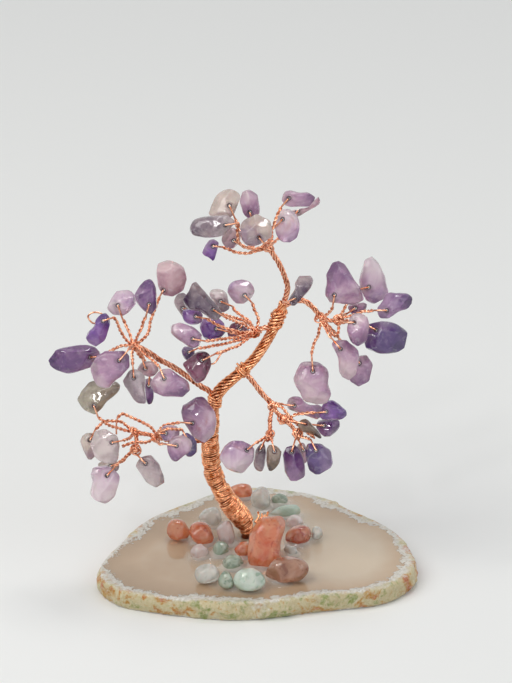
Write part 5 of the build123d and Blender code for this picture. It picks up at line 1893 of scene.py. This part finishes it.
@dataclass(frozen=True)
class Lamp:
    """One soft square lamp: its place and size in metres, its power in watts and its tint."""

    name: str
    place: tuple
    size: float
    power: float
    tint: str


@dataclass
class Studio:
    """The floor, the lights and the camera."""

    floor_size: float = 6.0
    distance: float = 2.4
    middle: tuple = (256.0, 341.5)
    picture_height: int = 683
    sensor: float = 36.0
    world_tint: str = "#F6F7FA"
    world_power: float = 0.4
    lit_spot: tuple = (0, 0, 0.05)
    lamps: tuple = (
        Lamp("key_soft", (-0.55, -0.35, 0.9), 0.7, 4.8, "#FFFDF9"),
        Lamp("fill_soft", (0.8, -0.6, 0.7), 0.9, 2.4, "#F7FAFF"),
        Lamp("top_small", (0.15, 0.25, 0.9), 0.22, 1.5, "#FFFFFF"),
        Lamp("spark", (-0.25, -0.6, 0.75), 0.07, 0.5, "#FFFFFF"),
        Lamp("spark_left", (-0.7, -0.2, 0.55), 0.06, 0.4, "#FFFFFF"),
    )

    def floor(self) -> None:
        """Make the plain pale floor."""
        bm = bmesh.new()
        bmesh.ops.create_grid(bm, x_segments=1, y_segments=1, size=self.floor_size)
        data = bpy.data.meshes.new("floor")
        bm.to_mesh(data)
        bm.free()
        data.materials.append(floor_material())
        obj = linked("floor", data)

    def light(self, lamp: Lamp) -> None:
        """Add one lamp that looks at the tree.

        Args:
            lamp: its settings.
        """
        data = bpy.data.lights.new(lamp.name, "AREA")
        data.size = lamp.size
        data.energy = lamp.power
        data.color = linear(lamp.tint)[:3]
        obj = linked(lamp.name, data)
        obj.location = lamp.place
        obj.rotation_euler = (Vector(self.lit_spot) - Vector(lamp.place)).to_track_quat("-Z", "Y").to_euler()

    def world(self) -> None:
        """Light the scene evenly and show plain white where a ray leaves it."""
        world = bpy.data.worlds.new("studio")
        bpy.context.scene.world = world
        world.use_nodes = True
        nodes = Nodes(world.node_tree)
        path = nodes.add("LightPath").node.outputs
        bent = nodes.add(
            "Math", {0: path["Is Glossy Ray"], 1: path["Is Transmission Ray"]}, operation="MAXIMUM"
        )
        seen = nodes.add("Math", {0: path["Is Camera Ray"], 1: bent}, operation="MAXIMUM")
        plain = nodes.add("Background", {0: linear(BACKGROUND), 1: 1.0})
        lit = nodes.add("Background", {0: linear(self.world_tint), 1: self.world_power})
        nodes.add("OutputWorld", {0: nodes.add("MixShader", {0: seen, 1: lit, 2: plain})})

    def camera(self) -> None:
        """Place the camera at the photograph's angle and framing."""
        data = bpy.data.cameras.new("camera")
        data.sensor_width = self.sensor
        data.lens = self.sensor * self.distance / (self.picture_height * PICTURE.pixel * MM)
        data.clip_end = 50.0
        target = PICTURE.place(*self.middle, 0.0) * MM
        turn = (-PICTURE.near).to_track_quat("-Z", "Y").to_matrix().to_4x4()
        camera = linked("camera", data)
        camera.matrix_world = Matrix.Translation(target + PICTURE.near * self.distance) @ turn
        bpy.context.scene.camera = camera

    def build(self) -> None:
        """Make the stage."""
        self.floor()
        for lamp in self.lamps:
            self.light(lamp)
        self.world()
        self.camera()
        bpy.context.scene.view_settings.view_transform = "Standard"


def plain(box: tuple) -> list:
    """Return a box's corners as plain lists."""
    return [[float(c) for c in corner] for corner in box]


def main() -> None:
    """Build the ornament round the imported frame."""
    logging.basicConfig(level=logging.INFO, format="%(name)s %(message)s")
    # The vector noise would take its seed from the clock, so it gets one that is the same each run.
    noise.seed_set(NOISE_SEED)
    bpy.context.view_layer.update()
    copper = copper_material("copper_wire_bare", CopperFinish())
    golden = copper_material("copper_wire_warm", CopperFinish("#FFC094", "#BF6A3A"))
    # A darker copy of the copper for the trunk's inner bundle: painted shade in the gaps between the outer
    # wires.
    dark = copper_material("copper_wire_shaded", CopperFinish("#8E4F32", "#5E2E1C", 0.45))
    chips = Chips(frame)
    for name in BRANCHES:
        BranchWire(name, chips.shapes, copper).build()
    chips.build()
    Trunk(golden, dark).build()
    Foot(frame).build()
    Studio().build()


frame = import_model()

if __name__ == "__main__":
    main()
